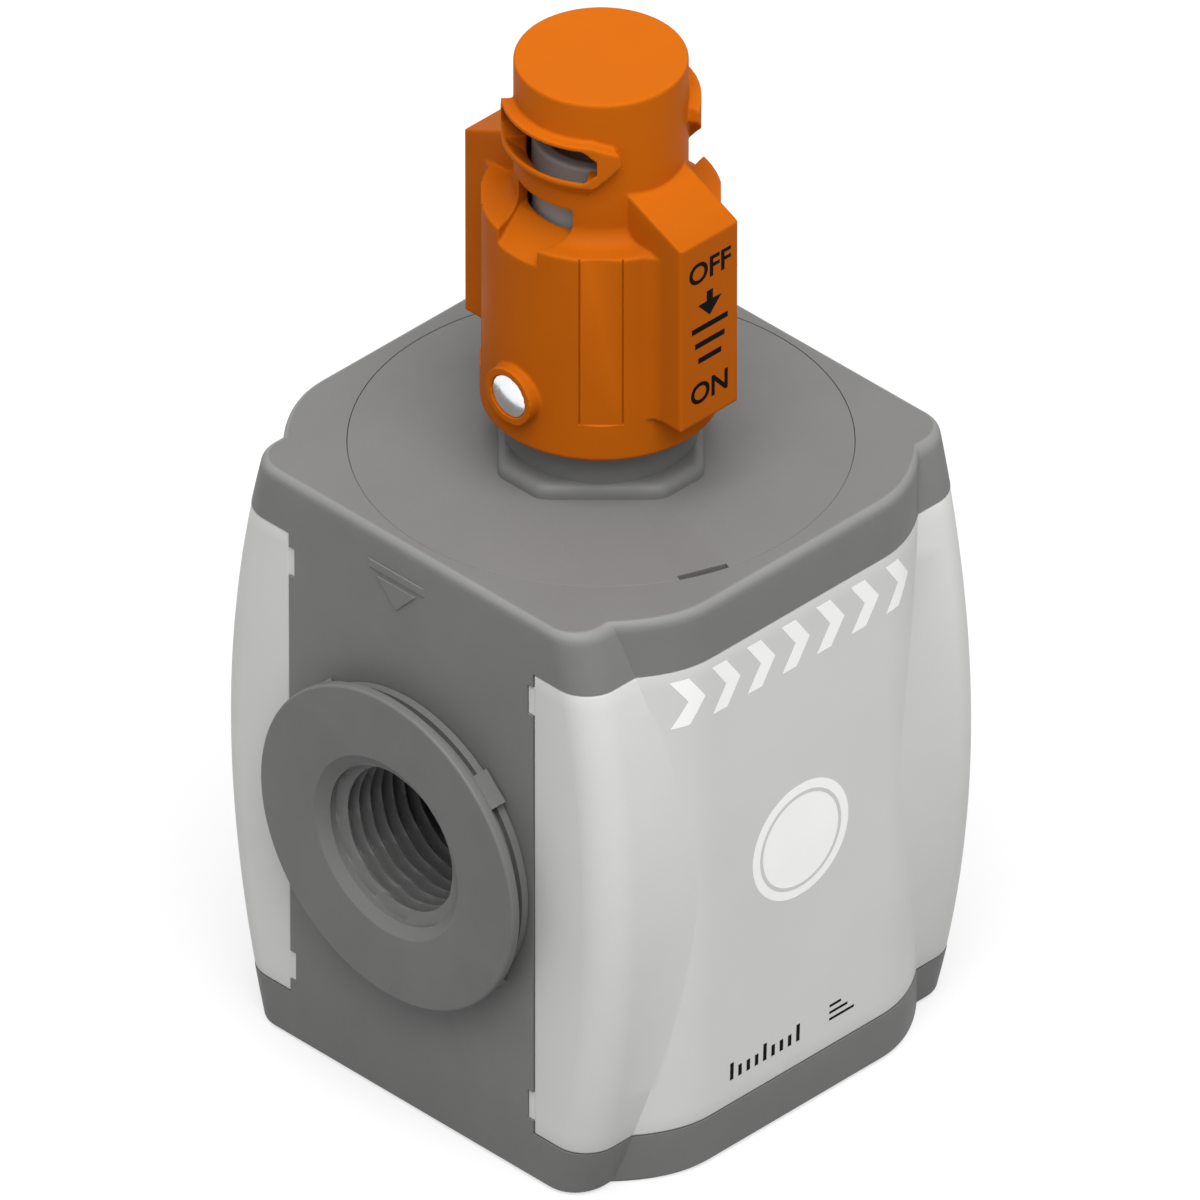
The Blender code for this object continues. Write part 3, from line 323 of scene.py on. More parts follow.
def ring_field(tree, size, axis, centre):
    """Noise in rings about a line through the centre along the axis, such as a lathe leaves."""
    place = tree.nodes.new("ShaderNodeTexCoord")
    offset = tree.nodes.new("ShaderNodeVectorMath")
    offset.operation = "SUBTRACT"
    offset.inputs[1].default_value = centre
    tree.links.new(place.outputs["Object"], offset.inputs[0])
    flatten = tree.nodes.new("ShaderNodeVectorMath")
    flatten.operation = "MULTIPLY"
    flatten.inputs[1].default_value = [0.0 if name == axis else 1.0 for name in "XYZ"]
    tree.links.new(offset.outputs["Vector"], flatten.inputs[0])
    distance_out = tree.nodes.new("ShaderNodeVectorMath")
    distance_out.operation = "LENGTH"
    tree.links.new(flatten.outputs["Vector"], distance_out.inputs[0])
    parts = tree.nodes.new("ShaderNodeSeparateXYZ")
    tree.links.new(offset.outputs["Vector"], parts.inputs[0])
    pair = tree.nodes.new("ShaderNodeCombineXYZ")
    tree.links.new(distance_out.outputs["Value"], pair.inputs["X"])
    tree.links.new(parts.outputs[axis], pair.inputs["Z"])
    field = tree.nodes.new("ShaderNodeTexNoise")
    field.inputs["Scale"].default_value = 1 / size
    tree.links.new(pair.outputs["Vector"], field.inputs["Vector"])
    return field.outputs["Fac"]


def turned_metal(name, colour, roughness, axis="Z", centre=(0, 0, 0)):
    material, tree, shader = new_material(name)
    tone = spread(tree, noise_field(tree, MOTTLE_SIZE / 4), 0.92, 1.06)
    tree.links.new(scaled_colour(tree, colour, tone), shader.inputs["Base Color"])
    rings = ring_field(tree, RING_SIZE, axis, centre)
    tree.links.new(spread(tree, rings, roughness - 0.06, roughness + 0.10), shader.inputs["Roughness"])
    shader.inputs["Metallic"].default_value = 1.0
    bumped(tree, shader, rings, 0.004 * MM)
    return material


PIN_HEIGHT_Z = (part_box("bayonet_pin_left")[0].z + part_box("bayonet_pin_left")[1].z) / 2
CAST_GREY = moulded_plastic("coated casting", (0.136, 0.136, 0.134), 0.52, 0.030 * MM, 0.05, 0.30)
BRASS = turned_metal("turned brass", (0.72, 0.52, 0.22), 0.28)
STEEL = turned_metal("ground steel", (0.62, 0.62, 0.63), 0.25)
PIN_STEEL = turned_metal("polished pin", (0.86, 0.87, 0.89), 0.16, "X", (0, 0, PIN_HEIGHT_Z))
RUBBER = moulded_plastic("black rubber", (0.022, 0.022, 0.022), 0.75, 0.012 * MM)
WHITE_PRINT = moulded_plastic("white print", (0.93, 0.93, 0.92), 0.45, 0.003 * MM, 0.02)
BLACK_PRINT = moulded_plastic("black print", (0.004, 0.004, 0.004), 0.60, 0.003 * MM, 0.10, 0.03)
print("pins turn about a line at a height of", round(PIN_HEIGHT_Z / MM, 2), "mm")

# %% [markdown]
# ## Tools for making a mesh
#
# Most pieces of a valve are either turned on a lathe or moulded with one plan that changes with
# height. So two helpers make nearly everything: turned() spins a profile about Z, and loft()
# lays a skin over rings. Both work on bmesh directly, so the number of facets stays in our hands.
# Holes and joints come from Boolean modifiers, which are turned into mesh straight away.

# %% Tools for making a mesh
ROUND_STEPS = 128
SMALL_STEPS = 64
PAST = 1.0 * MM
SEAM = 0.2 * MM
FINE_SEAM = 0.06 * MM
CLEARANCE = 0.3 * MM
SMOOTH_ANGLE = math.radians(32)


def as_piece(name, shape):
    """The shape as an object in the scene, with its faces turned outwards."""
    bmesh.ops.recalc_face_normals(shape, faces=shape.faces)
    mesh = bpy.data.meshes.new(name)
    shape.to_mesh(mesh)
    shape.free()
    piece = bpy.data.objects.new(name, mesh)
    scene.collection.objects.link(piece)
    return piece


def loft(name, rings):
    """A closed skin over rings that have equally many points."""
    shape = bmesh.new()
    loops = [[shape.verts.new(point) for point in ring] for ring in rings]
    for lower, upper in zip(loops, loops[1:]):
        for i in range(len(lower)):
            j = (i + 1) % len(lower)
            shape.faces.new((lower[i], lower[j], upper[j], upper[i]))
    shape.faces.new(loops[0][::-1])
    shape.faces.new(loops[-1])
    return as_piece(name, shape)


def turned(name, profile, steps=ROUND_STEPS, radius_at=None):
    """A profile of (radius, height) points turned about Z.

    A profile that starts on the axis also ends there; any other is closed into a ring. With
    radius_at the radius may change with the height and the angle, as on a thread.
    """
    shape = bmesh.new()
    loops = []
    for radius, height in profile:
        if radius == 0:
            loops.append([shape.verts.new((0, 0, height))])
            continue
        loop = []
        for i in range(steps):
            angle = math.tau * i / steps
            reach = radius_at(radius, height, angle) if radius_at else radius
            loop.append(shape.verts.new((reach * math.cos(angle), reach * math.sin(angle), height)))
        loops.append(loop)
    pairs = list(zip(loops, loops[1:]))
    if profile[0][0] > 0:
        pairs.append((loops[-1], loops[0]))
    for first, second in pairs:
        for i in range(steps):
            j = (i + 1) % steps
            corners = [first[i % len(first)], first[j % len(first)]]
            corners += [second[j % len(second)], second[i % len(second)]]
            shape.faces.new(list(dict.fromkeys(corners)))
    return as_piece(name, shape)


def box(name, low, high, turn=0.0):
    """A box between two corners, turned about the Z axis afterwards."""
    low, high = Vector(low), Vector(high)
    shape = bmesh.new()
    place = Matrix.Rotation(turn, 4, "Z") @ Matrix.Translation((low + high) / 2)
    bmesh.ops.create_cube(shape, size=1, matrix=place @ Matrix.Diagonal((*(high - low), 1)))
    return as_piece(name, shape)


def rod(name, start, end, radius, steps=SMALL_STEPS):
    """A cylinder from one point to another."""
    start, end = Vector(start), Vector(end)
    along = end - start
    place = Matrix.Translation((start + end) / 2) @ along.to_track_quat("Z", "Y").to_matrix().to_4x4()
    shape = bmesh.new()
    bmesh.ops.create_cone(
        shape, cap_ends=True, segments=steps, radius1=radius, radius2=radius, depth=along.length, matrix=place
    )
    return as_piece(name, shape)


def arc(centre, radius, start, end, count):
    """Points on an arc, both ends included, with angles in degrees."""
    points = []
    for i in range(count + 1):
        angle = math.radians(start + (end - start) * i / count)
        points.append((centre[0] + radius * math.cos(angle), centre[1] + radius * math.sin(angle)))
    return points


def levels(low, high, count):
    return [low + (high - low) * i / count for i in range(count + 1)]


def settle(piece):
    """Turns the piece's modifiers into mesh."""
    graph = bpy.context.evaluated_depsgraph_get()
    mesh = bpy.data.meshes.new_from_object(piece.evaluated_get(graph))
    piece.modifiers.clear()
    old = piece.data
    piece.data = mesh
    bpy.data.meshes.remove(old)


def change(piece, operation, *tools):
    """Unites, cuts or intersects a piece with each tool in turn, and removes the tools."""
    for tool in tools:
        boolean = piece.modifiers.new("change", "BOOLEAN")
        boolean.operation = operation
        boolean.solver = "EXACT"
        boolean.object = tool
        settle(piece)
        bpy.data.objects.remove(tool, do_unlink=True)


def dress(piece, material, body, slot, *replaced):
    """Gives a finished piece its material and smooth shading, and hangs it on a body of the model."""
    piece.data.materials.clear()
    piece.data.materials.append(material)
    piece.data.shade_smooth()
    piece.data.set_sharp_from_angle(angle=SMOOTH_ANGLE)
    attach(piece, body)
    if replaced:
        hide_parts(*replaced)
    print(piece.name, "rides on", body, "with", len(piece.data.polygons), "faces")
    return piece


print("tools ready, with", ROUND_STEPS, "facets round a large turned piece")

# %% [markdown]
# ## The body's plan
#
# Seen from above, the body is a block whose flat sides carry the ports. Its front and rear are
# bowed panels between four corner posts, and the posts bulge like a barrel while the panels
# hardly do. So the crease between a post and a panel wanders with the height, which is the most
# telling form of this valve. Modelling it by hand would take many loops. A formula for the plan
# at each height gives it exactly, and the covers can use the same formula.

# %% The body's plan
BODY_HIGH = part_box("body")[1]
COVER_LOW, COVER_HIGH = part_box("front_cover")
BODY_HEIGHT = BODY_HIGH.z
BODY_HALF_X = BODY_HIGH.x
PANEL_HALF_Y = 31.7 * MM
PANEL_BELLY = 0.8 * MM
PANEL_FLAT = 14.0 * MM
PANEL_BOW = 12.0 * MM
POST_HALF_Y = 32.2 * MM
POST_FALL = 5.5 * MM
POST_CORNER = 4.5 * MM
CORNER_POINTS = 12
BOW_POINTS = 12


def quarter_outline(z, inset):
    """Plan of the body for x and y over 0, from the flat side round to the flat of the panel."""
    off_middle = (z - BODY_HEIGHT / 2) / (BODY_HEIGHT / 2)
    post = POST_HALF_Y - POST_FALL * off_middle**2
    panel = PANEL_HALF_Y + PANEL_BELLY * (1 - off_middle**2)
    corner = (BODY_HALF_X - POST_CORNER, post - POST_CORNER)
    points = arc(corner, POST_CORNER - inset, 0, 90, CORNER_POINTS)
    crease = PANEL_FLAT + math.sqrt(2 * PANEL_BOW * max(panel - post, 0))
    for i in range(BOW_POINTS + 1):
        x = crease + (PANEL_FLAT - crease) * i / BOW_POINTS
        points.append((x, panel - (x - PANEL_FLAT) ** 2 / (2 * PANEL_BOW) - inset))
    return points


def body_ring(z, inset=0.0):
    """The whole plan of the body at a height."""
    quarter = quarter_outline(z, inset)
    ring = []
    for side_x, side_y in ((1, 1), (-1, 1), (-1, -1), (1, -1)):
        points = quarter if side_x == side_y else quarter[::-1]
        ring += [(side_x * x, side_y * y, z) for x, y in points]
    return ring


print("the plan has", len(body_ring(0)), "points; the body is", round(BODY_HEIGHT / MM, 1), "mm tall")

# %% [markdown]
# ## Front and rear covers
#
# Each cover is a light shell let into the body, and hooks into it with four small tabs. A
# moulded shell has no razor edges, so its rim is rounded: the first and last rings of the loft
# are drawn a little inwards, and so are the two ends of the plan. The whole face lies a few
# hundredths of a millimetre further in than the plan, which leaves room for the print.

# %% Front and rear covers
COVER_WALL = 2.2 * MM
COVER_EDGE_Y = 19.9 * MM
COVER_ROUND = 0.35 * MM
COVER_SKIN = 0.06 * MM
COVER_LEVELS = 36
TAB_REACH = 0.9 * MM
TAB_LENGTH = 3.9 * MM
TAB_FROM_END = 1.9 * MM
TAB_RECESS = 0.2 * MM


def cover_ring(z, outer_inset, inner_inset, edge_y, side_y, rounding=0.0):
    """Plan of a cover at a height: the body's outline and the same line further in."""
    outer_edge = [(BODY_HALF_X - outer_inset, edge_y)]
    if rounding:
        corner = (BODY_HALF_X - outer_inset - rounding, edge_y + rounding)
        outer_edge = arc(corner, rounding, -90, 0, 4)
    ring = []
    for inset, start, order in (
        (outer_inset, outer_edge, 1),
        (inner_inset, [(BODY_HALF_X - inner_inset, edge_y)], -1),
    ):
        half = start + quarter_outline(z, inset)
        path = half + [(-x, y) for x, y in half[::-1]]
        ring += [(x, side_y * y, z) for x, y in path[::order]]
    return ring


def tab_boxes(name, side_y, grow):
    """The four small tabs by which a cover's side edges hook into the body."""
    inner_x = BODY_HALF_X - COVER_WALL + TAB_RECESS - grow
    outer_x = BODY_HALF_X + (PAST if grow else -TAB_RECESS)
    tabs = []
    for side_x in (-1, 1):
        for bottom in (COVER_LOW.z + TAB_FROM_END, COVER_HIGH.z - TAB_FROM_END - TAB_LENGTH):
            ends_x = sorted((side_x * inner_x, side_x * outer_x))
            ends_y = sorted((side_y * (COVER_EDGE_Y - TAB_REACH - grow), side_y * (COVER_EDGE_Y + TAB_REACH)))
            low = (ends_x[0], ends_y[0], bottom - grow)
            high = (ends_x[1], ends_y[1], bottom + TAB_LENGTH + grow)
            tabs.append(box(f"{name}_{len(tabs)}", low, high))
    return tabs


def make_cover(name, side_y, replaced):
    rings = []
    for inset, z in arc((COVER_ROUND, COVER_LOW.z + COVER_ROUND), COVER_ROUND, 270, 180, 4)[:-1]:
        rings.append(cover_ring(z, COVER_SKIN + inset, COVER_WALL, COVER_EDGE_Y, side_y, COVER_ROUND))
    for z in levels(COVER_LOW.z + COVER_ROUND, COVER_HIGH.z - COVER_ROUND, COVER_LEVELS):
        rings.append(cover_ring(z, COVER_SKIN, COVER_WALL, COVER_EDGE_Y, side_y, COVER_ROUND))
    for inset, z in arc((COVER_ROUND, COVER_HIGH.z - COVER_ROUND), COVER_ROUND, 180, 90, 4)[1:]:
        rings.append(cover_ring(z, COVER_SKIN + inset, COVER_WALL, COVER_EDGE_Y, side_y, COVER_ROUND))
    cover = loft(name, rings)
    change(cover, "UNION", *tab_boxes(f"{name}_tab", side_y, 0))
    return dress(cover, LIGHT_GREY, "housing", "light_polymer", replaced)


make_cover("front_cover_shell", -1, "front_cover")
make_cover("rear_cover_shell", 1, "rear_cover")

# %% [markdown]
# ## The body
#
# The body is lofted from the same plan. Its top edge is rounded, and its foot has a small
# chamfer. Then come the cuts that the real mould makes with cores: pockets for the covers with
# notches for their tabs, the stepped valve bore, the wells for the port sleeves and the two
# slanting passages to the valve's seat. A fine seam stays open round every piece that is let in.

# %% The body
TOP_FILLET = 1.0 * MM
FOOT_CHAMFER = 0.5 * MM
BODY_LEVELS = 44
FLANGE_LOW, FLANGE_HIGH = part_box("outlet_flange")
PORT_HEIGHT = (FLANGE_LOW.z + FLANGE_HIGH.z) / 2
PORT_FACE_X = FLANGE_HIGH.x
SLEEVE_RADIUS = 14.0 * MM
SLEEVE_END = FLANGE_LOW.x
PORT_WELL_RADIUS = 9.0 * MM
PORT_WELL_DEPTH = 2.6 * MM
PASSAGE_RADIUS = 4.0 * MM
PASSAGE_OFFSET = 5.0 * MM
PASSAGE_RISE = 9.0 * MM
BONNET_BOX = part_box("bonnet")
BONNET_POCKET = BONNET_BOX[1].x + FINE_SEAM
BONNET_THICK = 5.7 * MM
PLUG_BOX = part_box("exhaust_plug")
SEAT_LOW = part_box("valve_seat")[0].z
BORE_RADIUS = 12.5 * MM
LOWER_BORE_RADIUS = 11.5 * MM
PLUG_HEAD = 3.2 * MM


def lay_along_x(piece, side_x):
    """Turns a piece that was drawn along Z so that it points along +X or -X at the ports."""
    turn = Matrix.Rotation(side_x * math.pi / 2, 4, "Y")
    piece.data.transform(Matrix.Translation((0, 0, PORT_HEIGHT)) @ turn)
    return piece


def pocket(name, side_y):
    """Cutter for the place where a cover is let in."""
    rings = []
    for z in levels(COVER_LOW.z - FINE_SEAM, COVER_HIGH.z + FINE_SEAM, COVER_LEVELS):
        rings.append(cover_ring(z, -PAST, COVER_WALL + SEAM, COVER_EDGE_Y - FINE_SEAM, side_y))
    return loft(name, rings)


rings = [body_ring(0, FOOT_CHAMFER)]
rings += [body_ring(z) for z in levels(FOOT_CHAMFER, BODY_HEIGHT - TOP_FILLET, BODY_LEVELS)]
for inset, z in arc((TOP_FILLET, BODY_HEIGHT - TOP_FILLET), TOP_FILLET, 180, 90, 8)[1:]:
    rings.append(body_ring(z, inset))
body = loft("body_block", rings)
for side_y, side in ((-1, "front"), (1, "rear")):
    cutters = [pocket(f"{side}_pocket", side_y)] + tab_boxes(f"{side}_notch", side_y, FINE_SEAM)
    change(body, "DIFFERENCE", *cutters)

plug_pocket = PLUG_BOX[1].x + 0.1 * MM
bonnet_low = BODY_HEIGHT - BONNET_THICK
plug_shelf = PLUG_BOX[0].z + PLUG_HEAD + SEAM
bore_profile = [
    (0, BODY_HEIGHT + PAST),
    (BONNET_POCKET, BODY_HEIGHT + PAST),
    (BONNET_POCKET, bonnet_low - SEAM),
    (BORE_RADIUS, bonnet_low - SEAM),
    (BORE_RADIUS, SEAT_LOW - SEAM),
    (LOWER_BORE_RADIUS, SEAT_LOW - SEAM),
    (LOWER_BORE_RADIUS, plug_shelf),
    (plug_pocket, plug_shelf),
    (plug_pocket, -PAST),
    (0, -PAST),
]
change(body, "DIFFERENCE", turned("valve_bore", bore_profile))

well_end = SLEEVE_END - SEAM - PORT_WELL_DEPTH
port_profile = [
    (0, BODY_HALF_X + PAST),
    (SLEEVE_RADIUS + SEAM, BODY_HALF_X + PAST),
    (SLEEVE_RADIUS + SEAM, SLEEVE_END - SEAM),
    (PORT_WELL_RADIUS, SLEEVE_END - SEAM),
    (PORT_WELL_RADIUS, well_end),
    (0, well_end),
]
for side_x, port in ((-1, "inlet"), (1, "outlet")):
    start = (side_x * (well_end + SEAM), 0, PORT_HEIGHT + side_x * PASSAGE_OFFSET)
    bore = LOWER_BORE_RADIUS if side_x < 0 else BORE_RADIUS
    end = (side_x * (bore - PAST), 0, PORT_HEIGHT + side_x * (PASSAGE_OFFSET + PASSAGE_RISE))
    change(
        body,
        "DIFFERENCE",
        lay_along_x(turned(f"{port}_well", port_profile), side_x),
        rod(f"{port}_passage", start, end, PASSAGE_RADIUS),
    )
dress(body, DARK_GREY, "housing", "dark_polymer", "body")

# %% [markdown]
# ## Port flanges with their threads
#
# A port is a round coupling flange with a sleeve behind it. Its disc is thin and stands off the
# body. Behind it lies the groove for a clamp, with four lugs across it and a low ring at its
# foot. The sleeve has an internal pipe thread. A thread could be swept as a ridge and joined on,
# but that Boolean is slow and fragile. Here the wall of the bore is itself a fine grid, and the
# thread only changes its radius: the crest moves along by one pitch for each turn. At both ends
# it fades out, as a cut thread does.

# %% Port flanges with their threads
FLANGE_RADIUS = (FLANGE_HIGH.z - FLANGE_LOW.z) / 2
FLANGE_THICK = 1.3 * MM
FLANGE_CHAMFER = 0.35 * MM
BASE_RING_RADIUS = 19.3 * MM
BASE_RING_THICK = 1.0 * MM
CLAMP_GROOVE_RADIUS = 18.5 * MM
LUG_REACH = 20.2 * MM
LUG_WIDTH = 4.4 * MM
THREAD_RADIUS = 10.48 * MM
MOUTH_RADIUS = 11.6 * MM
PORT_THREAD_PITCH = 1.814 * MM
PORT_THREAD_DEPTH = 1.5 * MM
RINGS_PER_PITCH = 12
THREAD_FADE = 0.7 * MM
THREAD_CREST = 1.25
THREAD_SLOPE = 2.5
EDGE_ROUND = 0.25 * MM
SLEEVE_GROOVE_DEPTH = 2.1 * MM
SLEEVE_GROOVE = (SLEEVE_END + 1.8 * MM, SLEEVE_END + 4.2 * MM)


def thread_wall(radius, low, high, pitch):
    """Profile points down the wall of a bore, close enough together to carry a thread."""
    count = round((high - low) / pitch * RINGS_PER_PITCH)
    return [(radius, z) for z in levels(low, high, count)]


def threaded(radius, low, high, pitch, depth):
    """A radius_at for turned(): a rounded ridge winds along the wall between two heights."""

    def radius_at(at, z, angle):
        if abs(at - radius) > 1e-9 or not low < z < high:
            return at
        phase = (z / pitch - angle / math.tau) % 1
        ridge = min(max(THREAD_CREST - THREAD_SLOPE * abs(2 * phase - 1), 0), 1)
        fade = min((z - low) / THREAD_FADE, (high - z) / THREAD_FADE, 1)
        return at - depth * ridge * fade

    return radius_at


def make_flange(port, side_x):
    groove_floor = SLEEVE_RADIUS - SLEEVE_GROOVE_DEPTH
    disc_back = PORT_FACE_X - FLANGE_THICK
    neck_back = BODY_HALF_X + SEAM
    mouth = PORT_FACE_X - (MOUTH_RADIUS - THREAD_RADIUS)
    face = arc((FLANGE_RADIUS - FLANGE_CHAMFER, PORT_FACE_X - FLANGE_CHAMFER), FLANGE_CHAMFER, 90, 0, 8)
    back = arc((FLANGE_RADIUS - EDGE_ROUND, disc_back + EDGE_ROUND), EDGE_ROUND, 0, -90, 4)
    profile = face + back
    profile += [
        (CLAMP_GROOVE_RADIUS, disc_back),
        (CLAMP_GROOVE_RADIUS, neck_back + BASE_RING_THICK),
        (BASE_RING_RADIUS, neck_back + BASE_RING_THICK),
        (BASE_RING_RADIUS, neck_back),
        (SLEEVE_RADIUS, neck_back),
        (SLEEVE_RADIUS, SLEEVE_GROOVE[1]),
        (groove_floor, SLEEVE_GROOVE[1]),
        (groove_floor, SLEEVE_GROOVE[0]),
        (SLEEVE_RADIUS, SLEEVE_GROOVE[0]),
        (SLEEVE_RADIUS, SLEEVE_END),
    ]
    profile += thread_wall(THREAD_RADIUS, SLEEVE_END, mouth, PORT_THREAD_PITCH)
    profile += arc((MOUTH_RADIUS + EDGE_ROUND, PORT_FACE_X - EDGE_ROUND), EDGE_ROUND, 135, 90, 3)
    wall = threaded(THREAD_RADIUS, SLEEVE_END, mouth, PORT_THREAD_PITCH, PORT_THREAD_DEPTH)
    flange = lay_along_x(turned(f"{port}_flange_casting", profile, ROUND_STEPS, wall), side_x)
    for i in range(2):
        lug = box(
            f"{port}_lugs_{i}",
            (-LUG_REACH, -LUG_WIDTH / 2, neck_back + SEAM),
            (LUG_REACH, LUG_WIDTH / 2, disc_back + FLANGE_THICK / 2),
            math.radians(45 + 90 * i),
        )
        core = rod("lug_core", (0, 0, neck_back - PAST), (0, 0, PORT_FACE_X + PAST), SLEEVE_RADIUS)
        change(lug, "DIFFERENCE", core)
        change(flange, "UNION", lay_along_x(lug, side_x))
    return dress(flange, CAST_GREY, "housing", "zinc", f"{port}_flange")


make_flange("inlet", -1)
make_flange("outlet", 1)

# %% [markdown]
# ## Bonnet
#
# The bonnet is the round lid in the top of the body. From outside only its face shows, with a
# thin seam round it and a small slot for prying it out. Underneath, its boss guides the plunger.
# It is one turned profile, and the slot is cut afterwards.

# %% Bonnet
BONNET_RADIUS = BONNET_BOX[1].x
BONNET_EDGE = 0.15 * MM
COLUMN_RADIUS = 11.2 * MM
COLUMN_SPIGOT = 3.7 * MM
PLUNGER_RADIUS = 3.5 * MM
SEAL_GROOVE = 2.4 * MM
SEAL_SECTION = 1.8 * MM
PRY_SLOT_ANGLE = math.radians(249)
PRY_SLOT_LENGTH = 6.2 * MM
PRY_SLOT_WIDTH = 0.9 * MM
PRY_SLOT_DEPTH = 1.6 * MM

boss_low = BONNET_BOX[0].z
boss = BORE_RADIUS - CLEARANCE
rod_hole = PLUNGER_RADIUS + CLEARANCE
recess = BODY_HEIGHT - COLUMN_SPIGOT - CLEARANCE
recess_radius = COLUMN_RADIUS + 0.1 * MM
seal_low = boss_low + SEAL_SECTION
rod_seal_low = bonnet_low - SEAL_GROOVE
profile = arc((BONNET_RADIUS - BONNET_EDGE, BODY_HEIGHT - BONNET_EDGE), BONNET_EDGE, 90, 0, 5)
profile += [
    (BONNET_RADIUS, bonnet_low),
    (boss, bonnet_low),
    (boss, seal_low + SEAL_GROOVE),
    (BORE_RADIUS - SEAL_GROOVE, seal_low + SEAL_GROOVE),
    (BORE_RADIUS - SEAL_GROOVE, seal_low),
    (boss, seal_low),
    (boss, boss_low),
    (rod_hole, boss_low),
    (rod_hole, rod_seal_low),
    (PLUNGER_RADIUS + SEAL_GROOVE, rod_seal_low),
    (PLUNGER_RADIUS + SEAL_GROOVE, bonnet_low),
    (rod_hole, bonnet_low),
    (rod_hole, recess),
    (recess_radius, recess),
    (recess_radius, BODY_HEIGHT),
]
bonnet = turned("bonnet_lid", profile)
slot_cutter = box(
    "pry_slot",
    (BONNET_RADIUS - PRY_SLOT_WIDTH, -PRY_SLOT_LENGTH / 2, BODY_HEIGHT - PRY_SLOT_DEPTH),
    (BONNET_RADIUS + PAST, PRY_SLOT_LENGTH / 2, BODY_HEIGHT + PAST),
    PRY_SLOT_ANGLE,
)
change(bonnet, "DIFFERENCE", slot_cutter)
dress(bonnet, LID_GREY, "housing", "dark_polymer", "bonnet")

# %% [markdown]
# ## Guide column
#
# A dark column stands on the bonnet and guides the knob. Its octagonal foot shows under the
# knob as a collar with a light bevelled rim, and its neck, which ends in a shallow cup, shows
# through the knob's windows. Two helical slots in its barrel lead the pins, so the knob sinks as
# it turns. A slot is cut with a loft whose rings walk round the column and down at the same time.

# %% Guide column
FOOT_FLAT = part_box("guide_column")[1].x
FOOT_DIAGONAL = 11.9 * MM
FOOT_LOW = BODY_HEIGHT + 0.02 * MM
FOOT_THICK = 1.78 * MM
FOOT_BEVEL = 1.3 * MM
FOOT_CORNER_STEPS = 5
FOOT_CORNER_CUT = 0.12
COLUMN_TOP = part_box("guide_column")[1].z
COLUMN_BARREL_TOP = BODY_HEIGHT + 20.0 * MM
COLUMN_NECK_RADIUS = 8.0 * MM
COLUMN_EDGE = 0.5 * MM
COLUMN_BORE = 8.2 * MM
CUP_RADIUS = 6.6 * MM
CUP_DEPTH = 3.5 * MM
CROSSHEAD_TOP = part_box("crosshead")[1].z
PIN_RADIUS = 2.4 * MM
CAM_DROP = 4.6 * MM
CAM_TURN = math.radians(90)


def foot_ring(z, inset):
    """The octagon at a height, with its corners slightly rounded by cutting them twice."""
    flat, diagonal = FOOT_FLAT - inset, FOOT_DIAGONAL - inset
    corners = []
    for i in range(8):
        angle = math.radians(45 * i)
        here, ahead = (flat, diagonal) if i % 2 == 0 else (diagonal, flat)
        across = (ahead - here * math.cos(math.pi / 4)) / math.sin(math.pi / 4)
        corners.append(Matrix.Rotation(angle, 2) @ Vector((here, across)))
    ring = []
    for i, corner in enumerate(corners):
        before = corner.lerp(corners[i - 1], FOOT_CORNER_CUT)
        after = corner.lerp(corners[(i + 1) % 8], FOOT_CORNER_CUT)
        for step in range(FOOT_CORNER_STEPS + 1):
            share = step / FOOT_CORNER_STEPS
            ring.append(before.lerp(corner, share).lerp(corner.lerp(after, share), share))
    return [(x, y, z) for x, y in ring]


def cam_slot(name, start_angle):
    """Cutter for one slot, whose rings go round the column while they drop."""
    reach = PIN_RADIUS + CLEARANCE
    end_turn = math.asin(reach / COLUMN_BORE)
    half = reach / math.cos(math.atan2(CAM_DROP, COLUMN_BORE * CAM_TURN))
    end = [-end_turn * math.cos(angle) for angle in levels(math.radians(8), math.pi / 2, 8)[:-1]]
    rings = []
    for turn in end + levels(0, CAM_TURN, 24) + [CAM_TURN - turn for turn in end[::-1]]:
        beyond = max(-turn, turn - CAM_TURN, 0)
        tall = half * math.sqrt(1 - (beyond / end_turn) ** 2)
        middle = PIN_HEIGHT_Z - CAM_DROP * min(max(turn / CAM_TURN, 0), 1)
        angle = start_angle - turn
        inner, outer = COLUMN_BORE - PAST, COLUMN_RADIUS + PAST
        low, high = middle - tall, middle + tall
        corners = ((inner, low), (outer, low), (outer, high), (inner, high))
        rings.append([(radius * math.cos(angle), radius * math.sin(angle), z) for radius, z in corners])
    return loft(name, rings)


cone = COLUMN_RADIUS - COLUMN_NECK_RADIUS
profile = [(0, COLUMN_TOP - CUP_DEPTH), (CUP_RADIUS, COLUMN_TOP - CUP_DEPTH), (CUP_RADIUS, COLUMN_TOP)]
profile += arc((COLUMN_NECK_RADIUS - COLUMN_EDGE, COLUMN_TOP - COLUMN_EDGE), COLUMN_EDGE, 90, 0, 5)
profile += [
    (COLUMN_NECK_RADIUS, COLUMN_BARREL_TOP + cone),
    (COLUMN_RADIUS, COLUMN_BARREL_TOP),
    (COLUMN_RADIUS, BODY_HEIGHT - COLUMN_SPIGOT),
    (COLUMN_BORE, BODY_HEIGHT - COLUMN_SPIGOT),
    (COLUMN_BORE, CROSSHEAD_TOP + CLEARANCE),
    (0, CROSSHEAD_TOP + CLEARANCE),
]
column = turned("guide_column_barrel", profile)
foot_top = FOOT_LOW + FOOT_THICK
foot_rings = [foot_ring(FOOT_LOW, 0)]
bevel = arc((FOOT_BEVEL, foot_top - FOOT_BEVEL), FOOT_BEVEL, 180, 90, 5)
foot_rings += [foot_ring(z, inset) for inset, z in bevel]
foot = loft("column_foot", foot_rings)
hole_radius = (COLUMN_BORE + COLUMN_RADIUS) / 2
